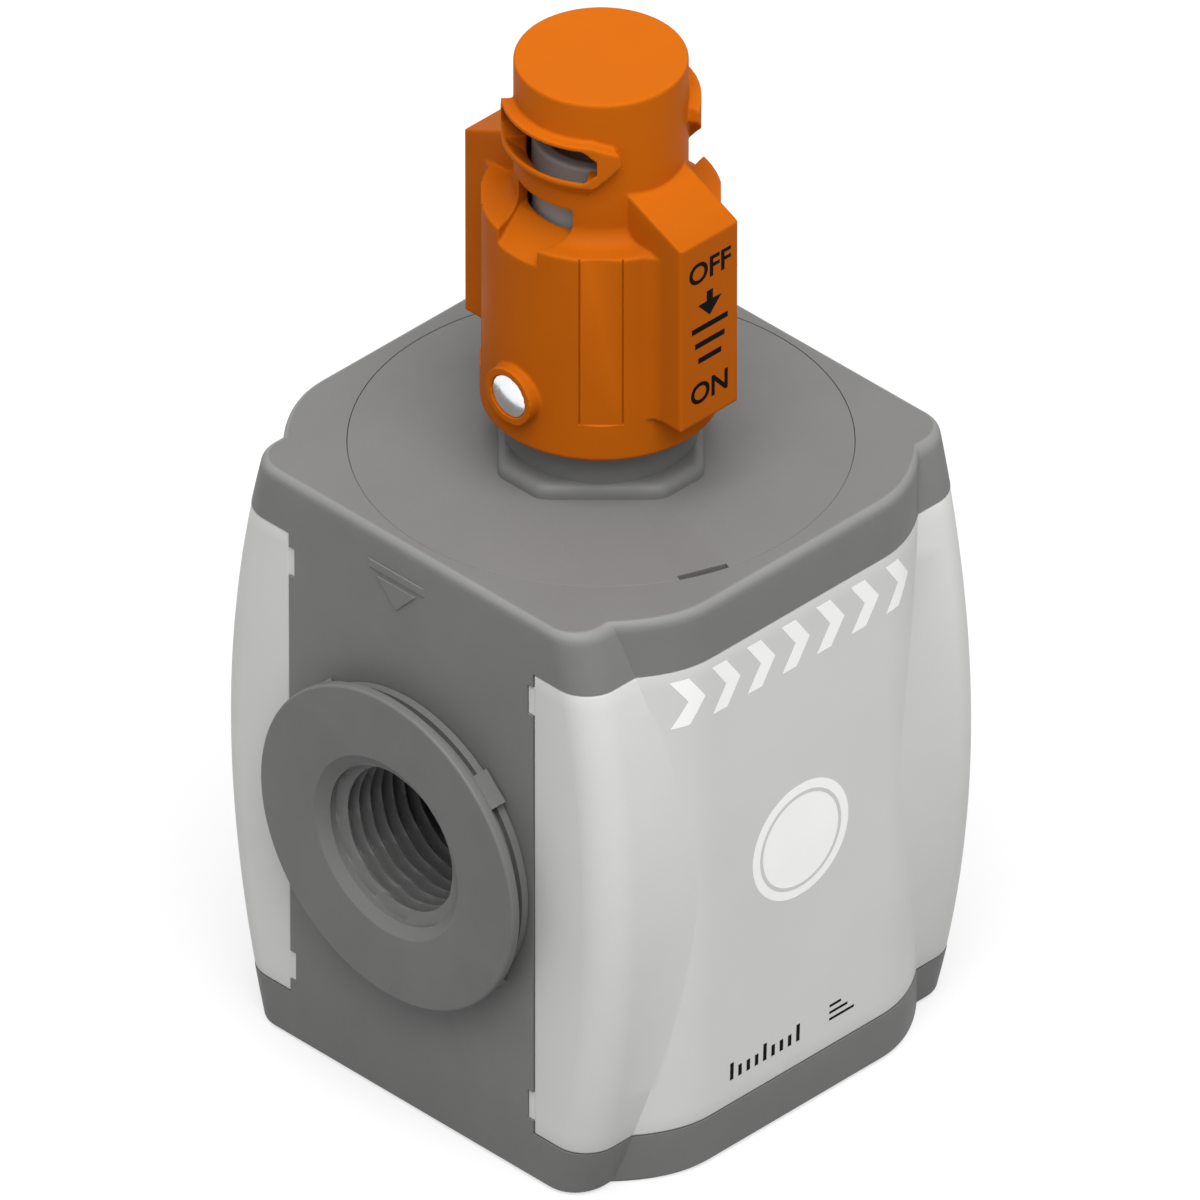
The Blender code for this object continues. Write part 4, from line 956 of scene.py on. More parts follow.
foot_hole = rod("foot_hole", (0, 0, FOOT_LOW - PAST), (0, 0, foot_top + PAST), hole_radius, ROUND_STEPS)
change(foot, "DIFFERENCE", foot_hole)
change(column, "UNION", foot)
change(column, "DIFFERENCE", cam_slot("cam_slot_right", 0.0), cam_slot("cam_slot_left", math.pi))
dress(column, COLUMN_GREY, "housing", "column_polymer", "guide_column")

# %% [markdown]
# ## The knob
#
# The knob is one orange moulding: a skirt, a crown, two finger pads with hollow fillets, raised
# surrounds about the padlock window, sight slots under it, four shallow flutes and a boss for
# each pin. Drawing all that as one clean mesh would take hours. It is much quicker to join and
# cut simple forms first. The edges are then too sharp for a moulding, so the result is turned
# into fine voxels, smoothed a little and thinned out again, which rounds every edge alike.
#
# Three faces slope. The underside of the window's surround slants inwards, the floor of the
# padlock window falls towards the bore, and a channel before each sight slot narrows and falls to
# the skirt's edge. The surround and the floor are turned first and cut by a fan, a form that
# widens from the axis, so that their sides point at the axis.

# %% The knob
KNOB_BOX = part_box("knob")
KNOB_LOW, KNOB_TOP = KNOB_BOX[0].z, KNOB_BOX[1].z
SKIRT_RADIUS = 13.95 * MM
SHOULDER = KNOB_LOW + 28.2 * MM
CROWN_RADIUS = 10.05 * MM
SHOULDER_FILLET = 2.0 * MM
KNOB_EDGE = 0.3 * MM
KNOB_FOOT_CHAMFER = 0.4 * MM
SKIRT_BORE = 11.8 * MM
CROWN_BORE = 8.6 * MM
CROWN_ROOF = KNOB_TOP - 5.5 * MM
SKIRT_ROOF = KNOB_LOW + 21.4 * MM
PAD_FACE_Y = KNOB_BOX[1].y
PAD_HALF_WIDTH = 4.7 * MM
PAD_FILLET = 2.2 * MM
PAD_FROM = 5.4 * MM
PAD_TOP_OUTER = 30.5 * MM
PAD_TOP_INNER = 34.1 * MM
PAD_TOP_INNER_Y = 9.7 * MM
PAD_EDGE = 0.4 * MM
FLUTE_WIDTH = 5.2 * MM
FLUTE_DEPTH = 0.2 * MM
FLUTE_FROM = 4.9 * MM
BROW_RADIUS = 11.5 * MM
BROW_LOW = 34.6 * MM
BROW_SLANT = 1.8 * MM
BROW_TIP = 39.4 * MM
BROW_HIGH = 42.0 * MM
BROW_FLAT_ANGLE = math.radians(40)
BROW_POINT_ANGLE = math.radians(57)
LOCK_LOW = 37.0 * MM
LOCK_HIGH = 41.4 * MM
LOCK_HALF_WIDTH = 7.7 * MM
LOCK_CHAMFER = 1.3 * MM
LOCK_FALL = 2.7 * MM
LOCK_LAND = 0.35 * MM
LOCK_FALL_ANGLE = math.radians(36)
SIGHT_HALF_WIDTH = 4.4 * MM
SIGHT_MOUTH = 2.7 * MM
SIGHT_HIGH = 32.1 * MM
SIGHT_INNER = 28.5 * MM
SIGHT_OUTER = 25.4 * MM
SIGHT_OVERLAP = 0.3 * MM
PIN_BOSS_RADIUS = 3.65 * MM
PIN_BOSS_REACH = KNOB_BOX[1].x


def pad_plan(side_y, fillet):
    """Plan of a finger pad: a flat face, rounded edges and, with a fillet, hollow feet on the skirt."""
    inner_y = math.sqrt(CROWN_RADIUS**2 - PAD_HALF_WIDTH**2) - PAST
    half = arc((PAD_HALF_WIDTH - PAD_EDGE, PAD_FACE_Y - PAD_EDGE), PAD_EDGE, 90, 0, 4)
    if fillet:
        fillet_x = PAD_HALF_WIDTH + fillet
        fillet_y = math.sqrt((SKIRT_RADIUS + fillet) ** 2 - fillet_x**2)
        meet = math.degrees(math.atan2(-fillet_y, -fillet_x)) + 360
        half += arc((fillet_x, fillet_y), fillet, 180, meet, 10)
    half.append((PAD_HALF_WIDTH, inner_y))
    return [(x, side_y * y) for x, y in half + [(-x, y) for x, y in half[::-1]]]


def finger_pad(name, side_y):
    """A finger pad: filleted to the skirt below the shoulder, and sloping up to the crown above it."""
    slope = (PAD_TOP_INNER - PAD_TOP_OUTER) / (PAD_FACE_Y - PAD_TOP_INNER_Y)
    plan = pad_plan(side_y, 0)
    bottom = [(x, y, KNOB_LOW + PAD_FROM) for x, y in plan]
    top = [(x, y, KNOB_LOW + PAD_TOP_OUTER + slope * (PAD_FACE_Y - abs(y))) for x, y in plan]
    pad = loft(name, [bottom, top])
    footed = pad_plan(side_y, PAD_FILLET)
    ends_z = (KNOB_LOW + PAD_FROM, SHOULDER - KNOB_EDGE)
    feet = loft(f"{name}_feet", [[(x, y, z) for x, y in footed] for z in ends_z])
    change(pad, "UNION", feet)
    return pad


def fan(name, outline, side_x):
    """An outline of (angle, z) points that widens from the Z axis towards one side."""
    rings = []
    for x in (PAST, BROW_RADIUS + 2 * PAST):
        rings.append([(side_x * x, x * math.tan(angle), KNOB_LOW + z) for angle, z in outline])
    return loft(name, rings)


def brow(name, side_x):
    """The raised six-sided surround of the padlock window, wrapped round the crown."""
    low_angle = BROW_FLAT_ANGLE - (BROW_POINT_ANGLE - BROW_FLAT_ANGLE) * PAST / (BROW_TIP - BROW_LOW)
    half = [(low_angle, BROW_LOW - PAST), (BROW_POINT_ANGLE, BROW_TIP), (BROW_FLAT_ANGLE, BROW_HIGH)]
    outline = half + [(-angle, z) for angle, z in half[::-1]]
    inner = CROWN_RADIUS - PAST
    inner_low = KNOB_LOW + BROW_LOW - BROW_SLANT * PAST / (BROW_RADIUS - CROWN_RADIUS)
    top = KNOB_LOW + BROW_HIGH + PAST
    outer_low = KNOB_LOW + BROW_LOW + BROW_SLANT
    band_profile = [(0, top), (BROW_RADIUS, top), (BROW_RADIUS, outer_low), (inner, inner_low), (0, inner_low)]
    band = turned(name, band_profile)
    change(band, "INTERSECT", fan("brow_outline", outline, side_x))
    return band


def lock_floor(name, side_x):
    """Cutter that lets the floor of the padlock window fall from its outer edge to the bore."""
    inner = CROWN_BORE - PAST
    slope = LOCK_FALL / (BROW_RADIUS - CROWN_BORE)
    land = BROW_RADIUS - LOCK_LAND
    heights = (2 * PAST, slope * (PAST + LOCK_LAND), -slope * (land - inner), 2 * PAST)
    radii = (BROW_RADIUS + PAST, BROW_RADIUS + PAST, inner, inner)
    floor_ring = turned(name, [(radius, KNOB_LOW + LOCK_LOW + z) for radius, z in zip(radii, heights)])
    low, high = LOCK_LOW - 2 * LOCK_FALL, LOCK_LOW + 3 * PAST
    side = LOCK_FALL_ANGLE
    outline = [(side, low), (side, high), (-side, high), (-side, low)]
    change(floor_ring, "INTERSECT", fan("floor_fan", outline, side_x))
    return floor_ring


def sight_slot(name, side_x):
    """Cutter for a sight slot and the channel before it, which narrows and falls towards the skirt's edge."""
    behind_crown = math.sqrt(CROWN_RADIUS**2 - SIGHT_HALF_WIDTH**2) - SIGHT_OVERLAP
    rings = []
    for x, half, low in (
        (CROWN_BORE / 2, SIGHT_HALF_WIDTH, SIGHT_INNER),
        (behind_crown, SIGHT_HALF_WIDTH, SIGHT_INNER),
        (SKIRT_RADIUS + PAST, SIGHT_MOUTH, SIGHT_OUTER),
    ):
        corners = ((-half, low), (half, low), (half, SIGHT_HIGH), (-half, SIGHT_HIGH))
        rings.append([(side_x * x, y, KNOB_LOW + z) for y, z in corners])
    return loft(name, rings)


profile = [(0, KNOB_TOP)]
profile += arc((CROWN_RADIUS - KNOB_EDGE, KNOB_TOP - KNOB_EDGE), KNOB_EDGE, 90, 0, 4)
profile += arc((CROWN_RADIUS + SHOULDER_FILLET, SHOULDER + SHOULDER_FILLET), SHOULDER_FILLET, 180, 270, 10)
profile += arc((SKIRT_RADIUS - KNOB_EDGE, SHOULDER - KNOB_EDGE), KNOB_EDGE, 90, 0, 4)
profile += [
    (SKIRT_RADIUS, KNOB_LOW + KNOB_FOOT_CHAMFER),
    (SKIRT_RADIUS - KNOB_FOOT_CHAMFER, KNOB_LOW),
    (0, KNOB_LOW),
]
knob = turned("knob_moulding", profile)
pads = [finger_pad("front_pad", -1), finger_pad("rear_pad", 1)]
brows = [brow("brow_left", -1), brow("brow_right", 1)]
boss_ends = [(x, 0, PIN_HEIGHT_Z) for x in (-PIN_BOSS_REACH, PIN_BOSS_REACH)]
change(knob, "UNION", *pads, *brows, rod("pin_bosses", *boss_ends, PIN_BOSS_RADIUS))
cavity_profile = [
    (0, CROWN_ROOF),
    (CROWN_BORE, CROWN_ROOF),
    (CROWN_BORE, SKIRT_ROOF + SKIRT_BORE - CROWN_BORE),
    (SKIRT_BORE, SKIRT_ROOF),
    (SKIRT_BORE, KNOB_LOW - PAST),
    (0, KNOB_LOW - PAST),
]
lock_outline = []
for side_y, z_from, z_to in ((1, LOCK_LOW, LOCK_HIGH), (-1, LOCK_HIGH, LOCK_LOW)):
    inward = math.copysign(LOCK_CHAMFER, z_to - z_from)
    lock_outline += [
        (side_y * (LOCK_HALF_WIDTH - LOCK_CHAMFER), KNOB_LOW + z_from),
        (side_y * LOCK_HALF_WIDTH, KNOB_LOW + z_from + inward),
        (side_y * LOCK_HALF_WIDTH, KNOB_LOW + z_to - inward),
        (side_y * (LOCK_HALF_WIDTH - LOCK_CHAMFER), KNOB_LOW + z_to),
    ]
hole_ends = [(x, 0, PIN_HEIGHT_Z) for x in (-PIN_BOSS_REACH - PAST, PIN_BOSS_REACH + PAST)]
pin_hole = rod("pin_hole", *hole_ends, PIN_RADIUS + CLEARANCE)
cavity = turned("knob_cavity", cavity_profile)
lock_ends = (-BROW_RADIUS - PAST, BROW_RADIUS + PAST)
lock = loft("padlock_window", [[(x, y, z) for y, z in lock_outline] for x in lock_ends])
change(knob, "DIFFERENCE", cavity, lock, pin_hole)
for side_x, side in ((-1, "left"), (1, "right")):
    change(knob, "DIFFERENCE", lock_floor(f"{side}_floor", side_x), sight_slot(f"{side}_sight", side_x))
print("sharp knob:", len(knob.data.polygons), "faces")

# %% [markdown]
# The voxel step comes now. Two rounds of smoothing pull an outer edge in by less than a tenth of
# a millimetre. The flutes are shallow, and voxels would blur them away, so they are cut
# afterwards: a flat panel with a narrow groove along each side, which draws a fine dark line.

# %% Rounding the knob's edges
KNOB_VOXEL = 0.19 * MM
KNOB_SMOOTHING = 2
KNOB_KEPT = 0.20
GROOVE_WIDTH = 0.22 * MM
GROOVE_DEPTH = 0.25 * MM
FLUTE_RUN_OUT = 0.3 * MM

remesh = knob.modifiers.new("voxels", "REMESH")
remesh.mode = "VOXEL"
remesh.voxel_size = KNOB_VOXEL
soften = knob.modifiers.new("soften", "SMOOTH")
soften.factor = 0.5
soften.iterations = KNOB_SMOOTHING
thin_out = knob.modifiers.new("thin out", "DECIMATE")
thin_out.ratio = KNOB_KEPT
settle(knob)


def flute_ring(z, depth, turn):
    """The flute's plan at a height: a flat panel between two fine grooves, at a depth in the skirt."""
    half, rib = FLUTE_WIDTH / 2, FLUTE_WIDTH / 2 - GROOVE_WIDTH
    panel, groove = SKIRT_RADIUS - depth, SKIRT_RADIUS - depth - GROOVE_DEPTH
    plan = [(groove, half), (groove, rib), (panel, rib), (panel, -rib), (groove, -rib), (groove, -half)]
    ring = []
    for x, y in [(SKIRT_RADIUS + PAST, -half), (SKIRT_RADIUS + PAST, half)] + plan:
        ring.append((x * math.cos(turn) - y * math.sin(turn), x * math.sin(turn) + y * math.cos(turn), z))
    return ring


for i in range(4):
    turn = math.radians(45 + 90 * i)
    low = KNOB_LOW + FLUTE_FROM
    stations = ((low, -GROOVE_DEPTH), (low + FLUTE_RUN_OUT, FLUTE_DEPTH), (SHOULDER + PAST, FLUTE_DEPTH))
    change(knob, "DIFFERENCE", loft(f"flute_{i}", [flute_ring(z, depth, turn) for z, depth in stations]))
dress(knob, SIGNAL_ORANGE, "knob", "orange_polymer", "knob")

# %% [markdown]
# ## Bayonet pins
#
# A polished pin ends just inside each boss. Its end is slightly domed, so that it catches the
# light from above as the brightest spot of the whole valve. It is a turned profile laid on its
# side.

# %% Bayonet pins
PIN_DOME = 0.4 * MM
PIN_PROUD = 0.4 * MM
PIN_HEAD_RADIUS = PIN_RADIUS + 0.22 * MM
PIN_HEAD_LENGTH = 1.6 * MM
PIN_END_CHAMFER = 0.3 * MM
PIN_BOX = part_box("bayonet_pin_right")


def make_pin(name, side_x, replaced):
    inner, outer = PIN_BOX[0].x, PIN_BOX[1].x + PIN_PROUD
    dome_radius = (PIN_HEAD_RADIUS**2 + PIN_DOME**2) / (2 * PIN_DOME)
    opening = math.degrees(math.asin(PIN_HEAD_RADIUS / dome_radius))
    dome = arc((0, outer - dome_radius), dome_radius, 90, 90 - opening, 8)
    profile = [(0, outer)] + dome[1:]
    profile += [(PIN_HEAD_RADIUS, outer - PIN_HEAD_LENGTH), (PIN_RADIUS, outer - PIN_HEAD_LENGTH)]
    profile += [(PIN_RADIUS, inner + PIN_END_CHAMFER), (PIN_RADIUS - PIN_END_CHAMFER, inner), (0, inner)]
    pin = turned(name, profile, SMALL_STEPS)
    turn = Matrix.Rotation(side_x * math.pi / 2, 4, "Y")
    pin.data.transform(Matrix.Translation((0, 0, PIN_HEIGHT_Z)) @ turn)
    dress(pin, PIN_STEEL, "knob", "steel", replaced)


make_pin("left_pin", -1, "bayonet_pin_left")
make_pin("right_pin", 1, "bayonet_pin_right")

# %% [markdown]
# ## Exhaust plug
#
# The exhaust plug closes the bore from below. It isn't in the photograph, so it gets what such
# plugs have: a round head with four notches for a pin spanner and an internal thread for a
# silencer. It is made like the flanges.

# %% Exhaust plug
PLUG_LOW, PLUG_TOP = PLUG_BOX[0].z, PLUG_BOX[1].z
PLUG_RADIUS = PLUG_BOX[1].x
EXHAUST_RADIUS = 6.58 * MM
EXHAUST_TOP = PLUG_LOW + 7.5 * MM
EXHAUST_THREAD_PITCH = 1.337 * MM
EXHAUST_THREAD_DEPTH = 0.86 * MM
TUBE_GUIDE = 5.3 * MM
NOTCH_WIDTH = 3.0 * MM
NOTCH_DEPTH = 1.4 * MM
NOTCH_FROM = 11.6 * MM
PLUG_EDGE = 0.4 * MM

shank = LOWER_BORE_RADIUS - CLEARANCE
head_top = PLUG_LOW + PLUG_HEAD
groove = (PLUG_TOP - SEAL_SECTION - SEAL_GROOVE, PLUG_TOP - SEAL_SECTION)
mouth = PLUG_LOW + 0.9 * MM
profile = [
    (shank, PLUG_TOP),
    (shank, groove[1]),
    (LOWER_BORE_RADIUS - SEAL_GROOVE, groove[1]),
    (LOWER_BORE_RADIUS - SEAL_GROOVE, groove[0]),
    (shank, groove[0]),
    (shank, head_top),
    (PLUG_RADIUS, head_top),
]
profile += arc((PLUG_RADIUS - PLUG_EDGE, PLUG_LOW + PLUG_EDGE), PLUG_EDGE, 0, -90, 5)
profile.append((EXHAUST_RADIUS + mouth - PLUG_LOW, PLUG_LOW))
profile += thread_wall(EXHAUST_RADIUS, mouth, EXHAUST_TOP, EXHAUST_THREAD_PITCH)
profile += [
    (TUBE_GUIDE, EXHAUST_TOP),
    (TUBE_GUIDE, groove[0]),
    (TUBE_GUIDE - CLEARANCE + SEAL_GROOVE, groove[0]),
    (TUBE_GUIDE - CLEARANCE + SEAL_GROOVE, groove[1]),
    (TUBE_GUIDE, groove[1]),
    (TUBE_GUIDE, PLUG_TOP),
]
wall = threaded(EXHAUST_RADIUS, mouth, EXHAUST_TOP, EXHAUST_THREAD_PITCH, EXHAUST_THREAD_DEPTH)
plug = turned("exhaust_fitting", profile, ROUND_STEPS, wall)
for i in range(4):
    notch = box(
        f"spanner_notch_{i}",
        (NOTCH_FROM, -NOTCH_WIDTH / 2, PLUG_LOW - PAST),
        (PLUG_RADIUS + PAST, NOTCH_WIDTH / 2, PLUG_LOW + NOTCH_DEPTH),
        math.radians(45 + 90 * i),
    )
    change(plug, "DIFFERENCE", notch)
dress(plug, CAST_GREY, "housing", "zinc", "exhaust_plug")

# %% [markdown]
# ## Pieces inside
#
# The poppet, plunger, seat and seals of the working model have the right shapes already, and
# only slivers of them can be seen. They stay as they are and get a finish. The two springs have
# a cell of their own below.

# %% Pieces inside
FINISH_OF_SLOT = {
    "dark_polymer": DARK_GREY,
    "light_polymer": LIGHT_GREY,
    "orange_polymer": SIGNAL_ORANGE,
    "column_polymer": COLUMN_GREY,
    "zinc": CAST_GREY,
    "brass": BRASS,
    "steel": STEEL,
    "rubber": RUBBER,
}
for subpart in frame["record"]["subparts"]:
    node = frame["nodes"][subpart["node"]]
    node.data.materials.clear()
    node.data.materials.append(FINISH_OF_SLOT[subpart["material_slot"]])

# %% [markdown]
# ## Springs
#
# Two coil springs are pressed when the knob goes down. One end of each rests on the housing and the other end
# follows a slide. A rigid coil would poke into its neighbours, and each spring here is still a rigid copy of
# the working model's coil, in steel with smooth shading, riding on the housing.

# %% Springs
PLUNGER_SPRING_FOOT = 75.3 * MM
POPPET_SPRING_FOOT = 15.3 * MM
POPPET_LIFT = 3.4 * MM
SPRINGS = (
    ("plunger_coil", "plunger_spring", "plunger_slide", PLUNGER_SPRING_FOOT, CAM_DROP),
    ("poppet_coil", "poppet_spring", "poppet_slide", POPPET_SPRING_FOOT, POPPET_LIFT),
)

for name, node, slide, fixed_end, stroke in SPRINGS:
    coil = bpy.data.objects.new(name, frame["nodes"][node].data.copy())
    coil.matrix_world = frame["nodes"][node].matrix_world
    scene.collection.objects.link(coil)
    dress(coil, STEEL, "housing", "steel", node)
    low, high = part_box(node)
    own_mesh(coil)

# %% [markdown]
# ## Printed marks
#
# The covers carry white print and some small black marks. The valve gets generic ones: a row of
# chevrons that shows which way the air flows, a round field, and a scale of ticks. The knob's
# front pad shows OFF, an arrow with bars, and ON. Print is paint of almost no thickness, so each
# mark is a thin skin that lies just over its surface. It follows the panel's bow because each of
# its points takes its depth from the body's own formula.

# %% Printed marks
PRINT_LIFT = 0.01 * MM
PRINT_THICK = 0.015 * MM


def panel_y(z):
    """Half depth of a cover at the flat middle of a panel."""
    off_middle = (z - BODY_HEIGHT / 2) / (BODY_HEIGHT / 2)
    return PANEL_HALF_Y + PANEL_BELLY * (1 - off_middle**2) - COVER_SKIN


def cover_depth(x, z):
    """Depth of the front cover at a point, beside its flat middle too."""
    beside = max(abs(x) - PANEL_FLAT, 0)
    return panel_y(z) - beside**2 / (2 * PANEL_BOW)


print("print is", PRINT_THICK / MM, "mm thick")

# %% [markdown]
# A mark is drawn as a small grid. The grid's rows climb the cover, and each row has points from
# its left end to its right end, so the mark bends with the cover both ways.

# %% Print on the front cover
MARK_COLUMNS = 6
CHEVRONS = 7
CHEVRON_LEFT = -19.6 * MM
CHEVRON_RIGHT = 14.2 * MM
CHEVRON_MIDDLE = 66.7 * MM
CHEVRON_HEIGHT = 6.4 * MM
CHEVRON_POINT = 2.2 * MM
CHEVRON_WIDTH = 2.3 * MM
FIELD_RADIUS = 7.8 * MM
FIELD_RING = 0.45 * MM
FIELD_RING_RADIUS = 6.6 * MM
RING_HALF = 32
TICK_LOW = 10.2 * MM
TICK_HEIGHT = 2.4 * MM
TICK_LEFT = -11.0 * MM
TICK_STEP = 1.35 * MM
TICK_WIDTH = 0.55 * MM
SHORT_TICK = 0.65
TICKS = 9
BAR_THICK = 0.35 * MM


def printed(name, rows, depth_at, lift=PRINT_LIFT):
    """A thin skin over rows of (x, z) points that have equally many points."""
    shape = bmesh.new()
    sheets = []
    for extra in (0, PRINT_THICK):
        sheets.append(
            [[shape.verts.new((x, -(depth_at(x, z) + lift + extra), z)) for x, z in row] for row in rows]
        )
    last_row, last = len(rows) - 1, len(rows[0]) - 1
    for sheet_rows in sheets:
        for lower, upper in zip(sheet_rows, sheet_rows[1:]):
            for i in range(last):
                shape.faces.new((lower[i], lower[i + 1], upper[i + 1], upper[i]))
    back, front = sheets
    for row in (0, last_row):
        for i in range(last):
            shape.faces.new((back[row][i], back[row][i + 1], front[row][i + 1], front[row][i]))
    for end in (0, last):
        for row in range(last_row):
            shape.faces.new((back[row][end], back[row + 1][end], front[row + 1][end], front[row][end]))
    return as_piece(name, shape)


def joined(name, pieces):
    """Several pieces of print as one object."""
    shape = bmesh.new()
    for piece in pieces:
        shape.from_mesh(piece.data)
        bpy.data.objects.remove(piece, do_unlink=True)
    return as_piece(name, shape)


def across(left, right, z):
    """One row of a mark."""
    return [(left + (right - left) * i / MARK_COLUMNS, z) for i in range(MARK_COLUMNS + 1)]


chevrons = []
for i in range(CHEVRONS):
    left = CHEVRON_LEFT + (CHEVRON_RIGHT - CHEVRON_LEFT) * i / (CHEVRONS - 1)
    rows = []
    for share in levels(-1, 1, 8):
        x = left + CHEVRON_POINT * (1 - abs(share))
        rows.append(across(x, x + CHEVRON_WIDTH, CHEVRON_MIDDLE + share * CHEVRON_HEIGHT / 2))
    chevrons.append(printed(f"chevron_{i}", rows, cover_depth))
dress(joined("flow_chevrons", chevrons), WHITE_PRINT, "housing", "light_polymer")

rows = []
for angle in levels(math.radians(-84), math.radians(84), 28):
    half = FIELD_RADIUS * math.cos(angle)
    rows.append(across(-half, half, PORT_HEIGHT + FIELD_RADIUS * math.sin(angle)))
dress(printed("round_field", rows, cover_depth), WHITE_PRINT, "housing", "light_polymer")

ring_radii = (FIELD_RING_RADIUS - FIELD_RING, FIELD_RING_RADIUS)
ring_rows = []
for angle in levels(0, math.tau, 2 * RING_HALF):
    ring_rows.append([(r * math.cos(angle), PORT_HEIGHT + r * math.sin(angle)) for r in ring_radii])
over_field = PRINT_LIFT + PRINT_THICK + PRINT_LIFT
halves = []
for i in range(2):
    rows = ring_rows[RING_HALF * i : RING_HALF * (i + 1) + 1]
    halves.append(printed(f"field_ring_{i}", rows, cover_depth, over_field))
dress(joined("field_ring", halves), LIGHT_GREY, "housing", "light_polymer")

ticks = []
for i in range(TICKS):
    left = TICK_LEFT + TICK_STEP * i
    top = TICK_LOW + TICK_HEIGHT * (1.0 if i % 4 == 0 else SHORT_TICK)
    rows = [across(left, left + TICK_WIDTH, z) for z in levels(TICK_LOW, top, 2)]
    ticks.append(printed(f"tick_{i}", rows, cover_depth))
bar_left = TICK_LEFT + TICK_STEP * (TICKS + 3)
for i in range(3):
    z = TICK_LOW + TICK_HEIGHT * (0.1 + 0.4 * i)
    bar_right = bar_left + TICK_STEP * (3 - 0.8 * i)
    rows = [across(bar_left, bar_right, height) for height in (z, z + BAR_THICK)]
    ticks.append(printed(f"bar_{i}", rows, cover_depth))
dress(joined("cover_ticks", ticks), BLACK_PRINT, "housing", "light_polymer")

# %% [markdown]
# ## Marks on the knob
#
# The front pad is lettered with OFF and ON. Blender's text objects make the letters, which
# become mesh, stand up from the page and move to the pad's face. Between them stand an arrow
# and a few bars, which are plain polygons.

# %% Marks on the knob
LETTER_HEIGHT = 3.9 * MM
LETTER_BOLDER = 0.02
OFF_HEIGHT = 26.2 * MM
ON_HEIGHT = 9.4 * MM
ARROW_LOW = 19.8 * MM
ARROW_HIGH = 23.2 * MM
ARROW_STEM_LENGTH = 1.4 * MM
ARROW_STEP = 1.35 * MM
ARROW_TIP_HALF = 0.05 * MM
ARROW_HEAD_HALF = 1.9 * MM
ARROW_STEM_HALF = 0.5 * MM
PAD_BARS = (18.1 * MM, 15.9 * MM, 13.7 * MM)
PAD_BAR_THICK = 0.75 * MM
PAD_BAR_HALF = 2.9 * MM
PAD_BAR_SHORTER = 0.18


def lettering(name, words, height, z):
    """Raised letters on the front pad, of the thickness of paint."""
    text = bpy.data.curves.new(name, "FONT")
    text.body = words
    text.size = height
    text.align_x = "CENTER"
    text.align_y = "CENTER"
    text.extrude = PRINT_THICK / 2
    text.offset = LETTER_BOLDER * height
    text.resolution_u = 6
    source = bpy.data.objects.new(name, text)
    scene.collection.objects.link(source)
    graph = bpy.context.evaluated_depsgraph_get()
    mesh = bpy.data.meshes.new_from_object(source.evaluated_get(graph))
    bpy.data.objects.remove(source, do_unlink=True)
    stand_up = Matrix.Rotation(math.pi / 2, 4, "X")
    place = Matrix.Translation((0, -(PAD_FACE_Y + PRINT_LIFT + PRINT_THICK / 2), z))
    mesh.transform(place @ stand_up)
    piece = bpy.data.objects.new(name, mesh)
    scene.collection.objects.link(piece)
    return piece


def pad_depth(x, z):
    """Depth of the front pad, which is flat."""
    return PAD_FACE_Y


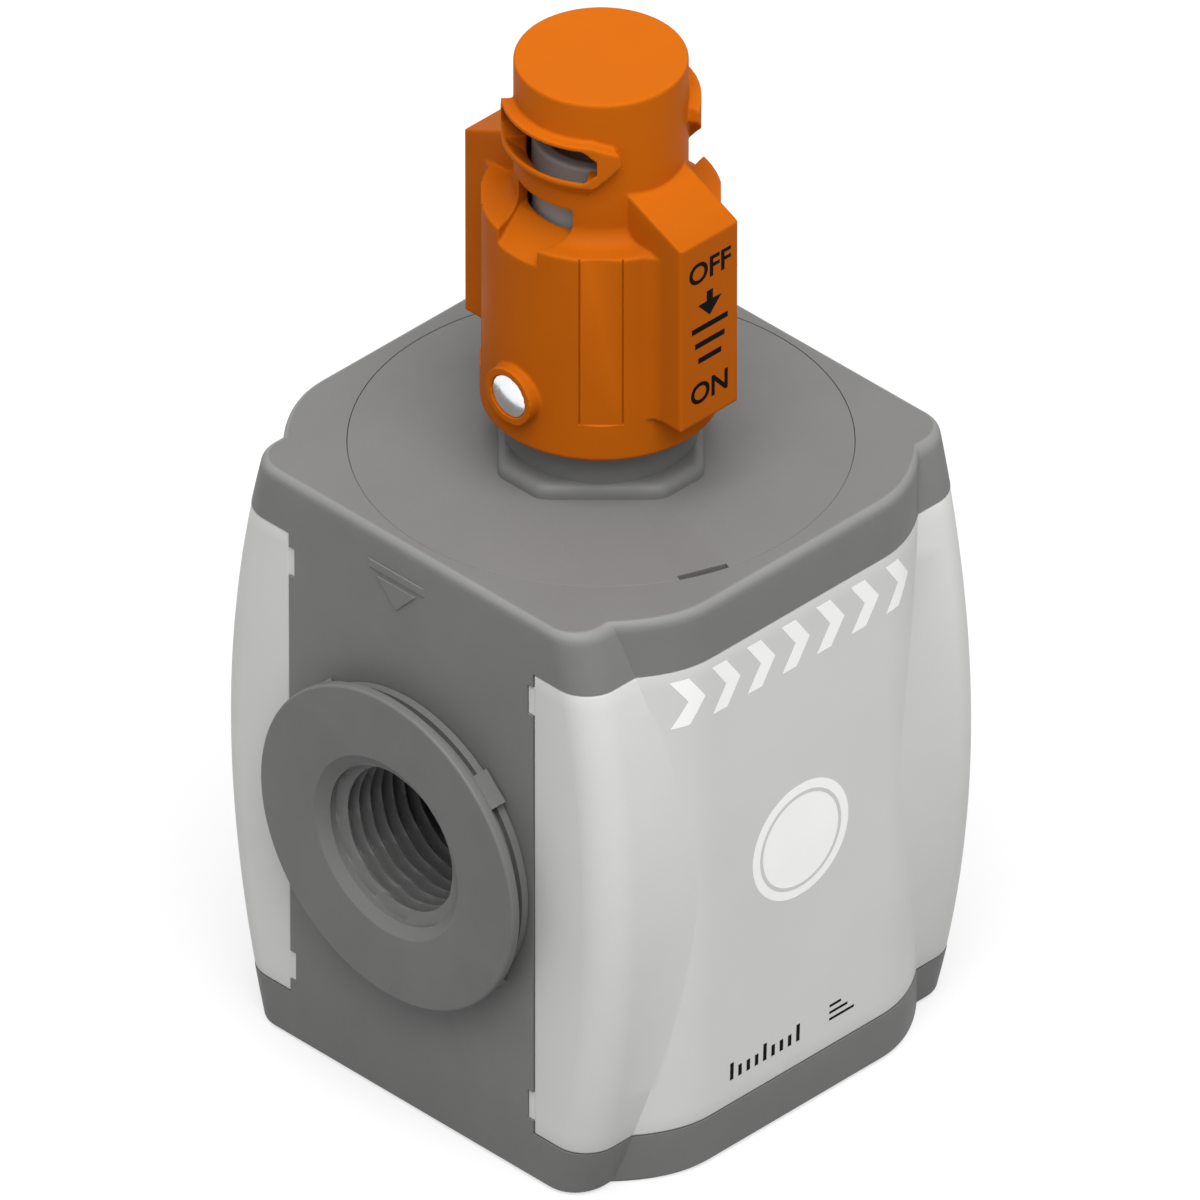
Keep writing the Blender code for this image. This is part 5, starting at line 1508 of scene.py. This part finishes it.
pad_marks = [
    lettering("off", "OFF", LETTER_HEIGHT, KNOB_LOW + OFF_HEIGHT),
    lettering("on", "ON", LETTER_HEIGHT, KNOB_LOW + ON_HEIGHT),
]
arrow_low, arrow_high = KNOB_LOW + ARROW_LOW, KNOB_LOW + ARROW_HIGH
arrow_rows = []
for z, half in (
    (arrow_low, ARROW_TIP_HALF),
    (arrow_high - ARROW_STEM_LENGTH, ARROW_HEAD_HALF),
    (arrow_high - ARROW_STEP, ARROW_STEM_HALF),
    (arrow_high, ARROW_STEM_HALF),
):
    arrow_rows.append([(-half, z), (half, z)])
pad_marks.append(printed("arrow", arrow_rows, pad_depth))
for i, height in enumerate(PAD_BARS):
    z = KNOB_LOW + height
    half = PAD_BAR_HALF * (1 - PAD_BAR_SHORTER * i)
    rows = [[(-half, edge), (half, edge)] for edge in (z, z + PAD_BAR_THICK)]
    pad_marks.append(printed(f"pad_bar_{i}", rows, pad_depth))
dress(joined("pad_print", pad_marks), BLACK_PRINT, "knob", "orange_polymer")

# %% [markdown]
# ## Moulded mark on the inlet side
#
# A small mark stands proud of the body over the inlet: a bar and a wedge that points at the
# port. It is moulded with the body, so it has the body's colour and shows only by its edges.

# %% Moulded mark on the inlet side
MARK_PROUD = 0.22 * MM
MARK_SUNK = 0.01 * MM
MARK_MIDDLE_Y = 2.2 * MM
MARK_HIGH = 74.6 * MM
MARK_LOW = 69.4 * MM
MARK_HALF = 4.6 * MM
MARK_BAR_TALL = 1.0 * MM
WEDGE_DROP = 1.8 * MM
WEDGE_HALF = 0.7 * MARK_HALF


def raised(name, outline):
    """A flat form on the inlet side, whose sides lean in a little, as they must to leave a mould."""
    middle_y = sum(y for y, z in outline) / len(outline)
    middle_z = sum(z for y, z in outline) / len(outline)
    rings = []
    for x, share in ((-BODY_HALF_X - MARK_SUNK, 1.0), (-BODY_HALF_X - MARK_PROUD, 0.95)):
        ring = [(x, middle_y + (y - middle_y) * share, middle_z + (z - middle_z) * share) for y, z in outline]
        rings.append(ring)
    return loft(name, rings)


bar = [
    (MARK_MIDDLE_Y - MARK_HALF, MARK_HIGH),
    (MARK_MIDDLE_Y + MARK_HALF, MARK_HIGH),
    (MARK_MIDDLE_Y + MARK_HALF, MARK_HIGH - MARK_BAR_TALL),
    (MARK_MIDDLE_Y - MARK_HALF, MARK_HIGH - MARK_BAR_TALL),
]
wedge = [
    (MARK_MIDDLE_Y - WEDGE_HALF, MARK_HIGH - WEDGE_DROP),
    (MARK_MIDDLE_Y + WEDGE_HALF, MARK_HIGH - WEDGE_DROP),
    (MARK_MIDDLE_Y, MARK_LOW),
]
inlet_mark = joined("inlet_mark", [raised("mark_bar", bar), raised("mark_wedge", wedge)])
dress(inlet_mark, DARK_GREY, "housing", "dark_polymer")
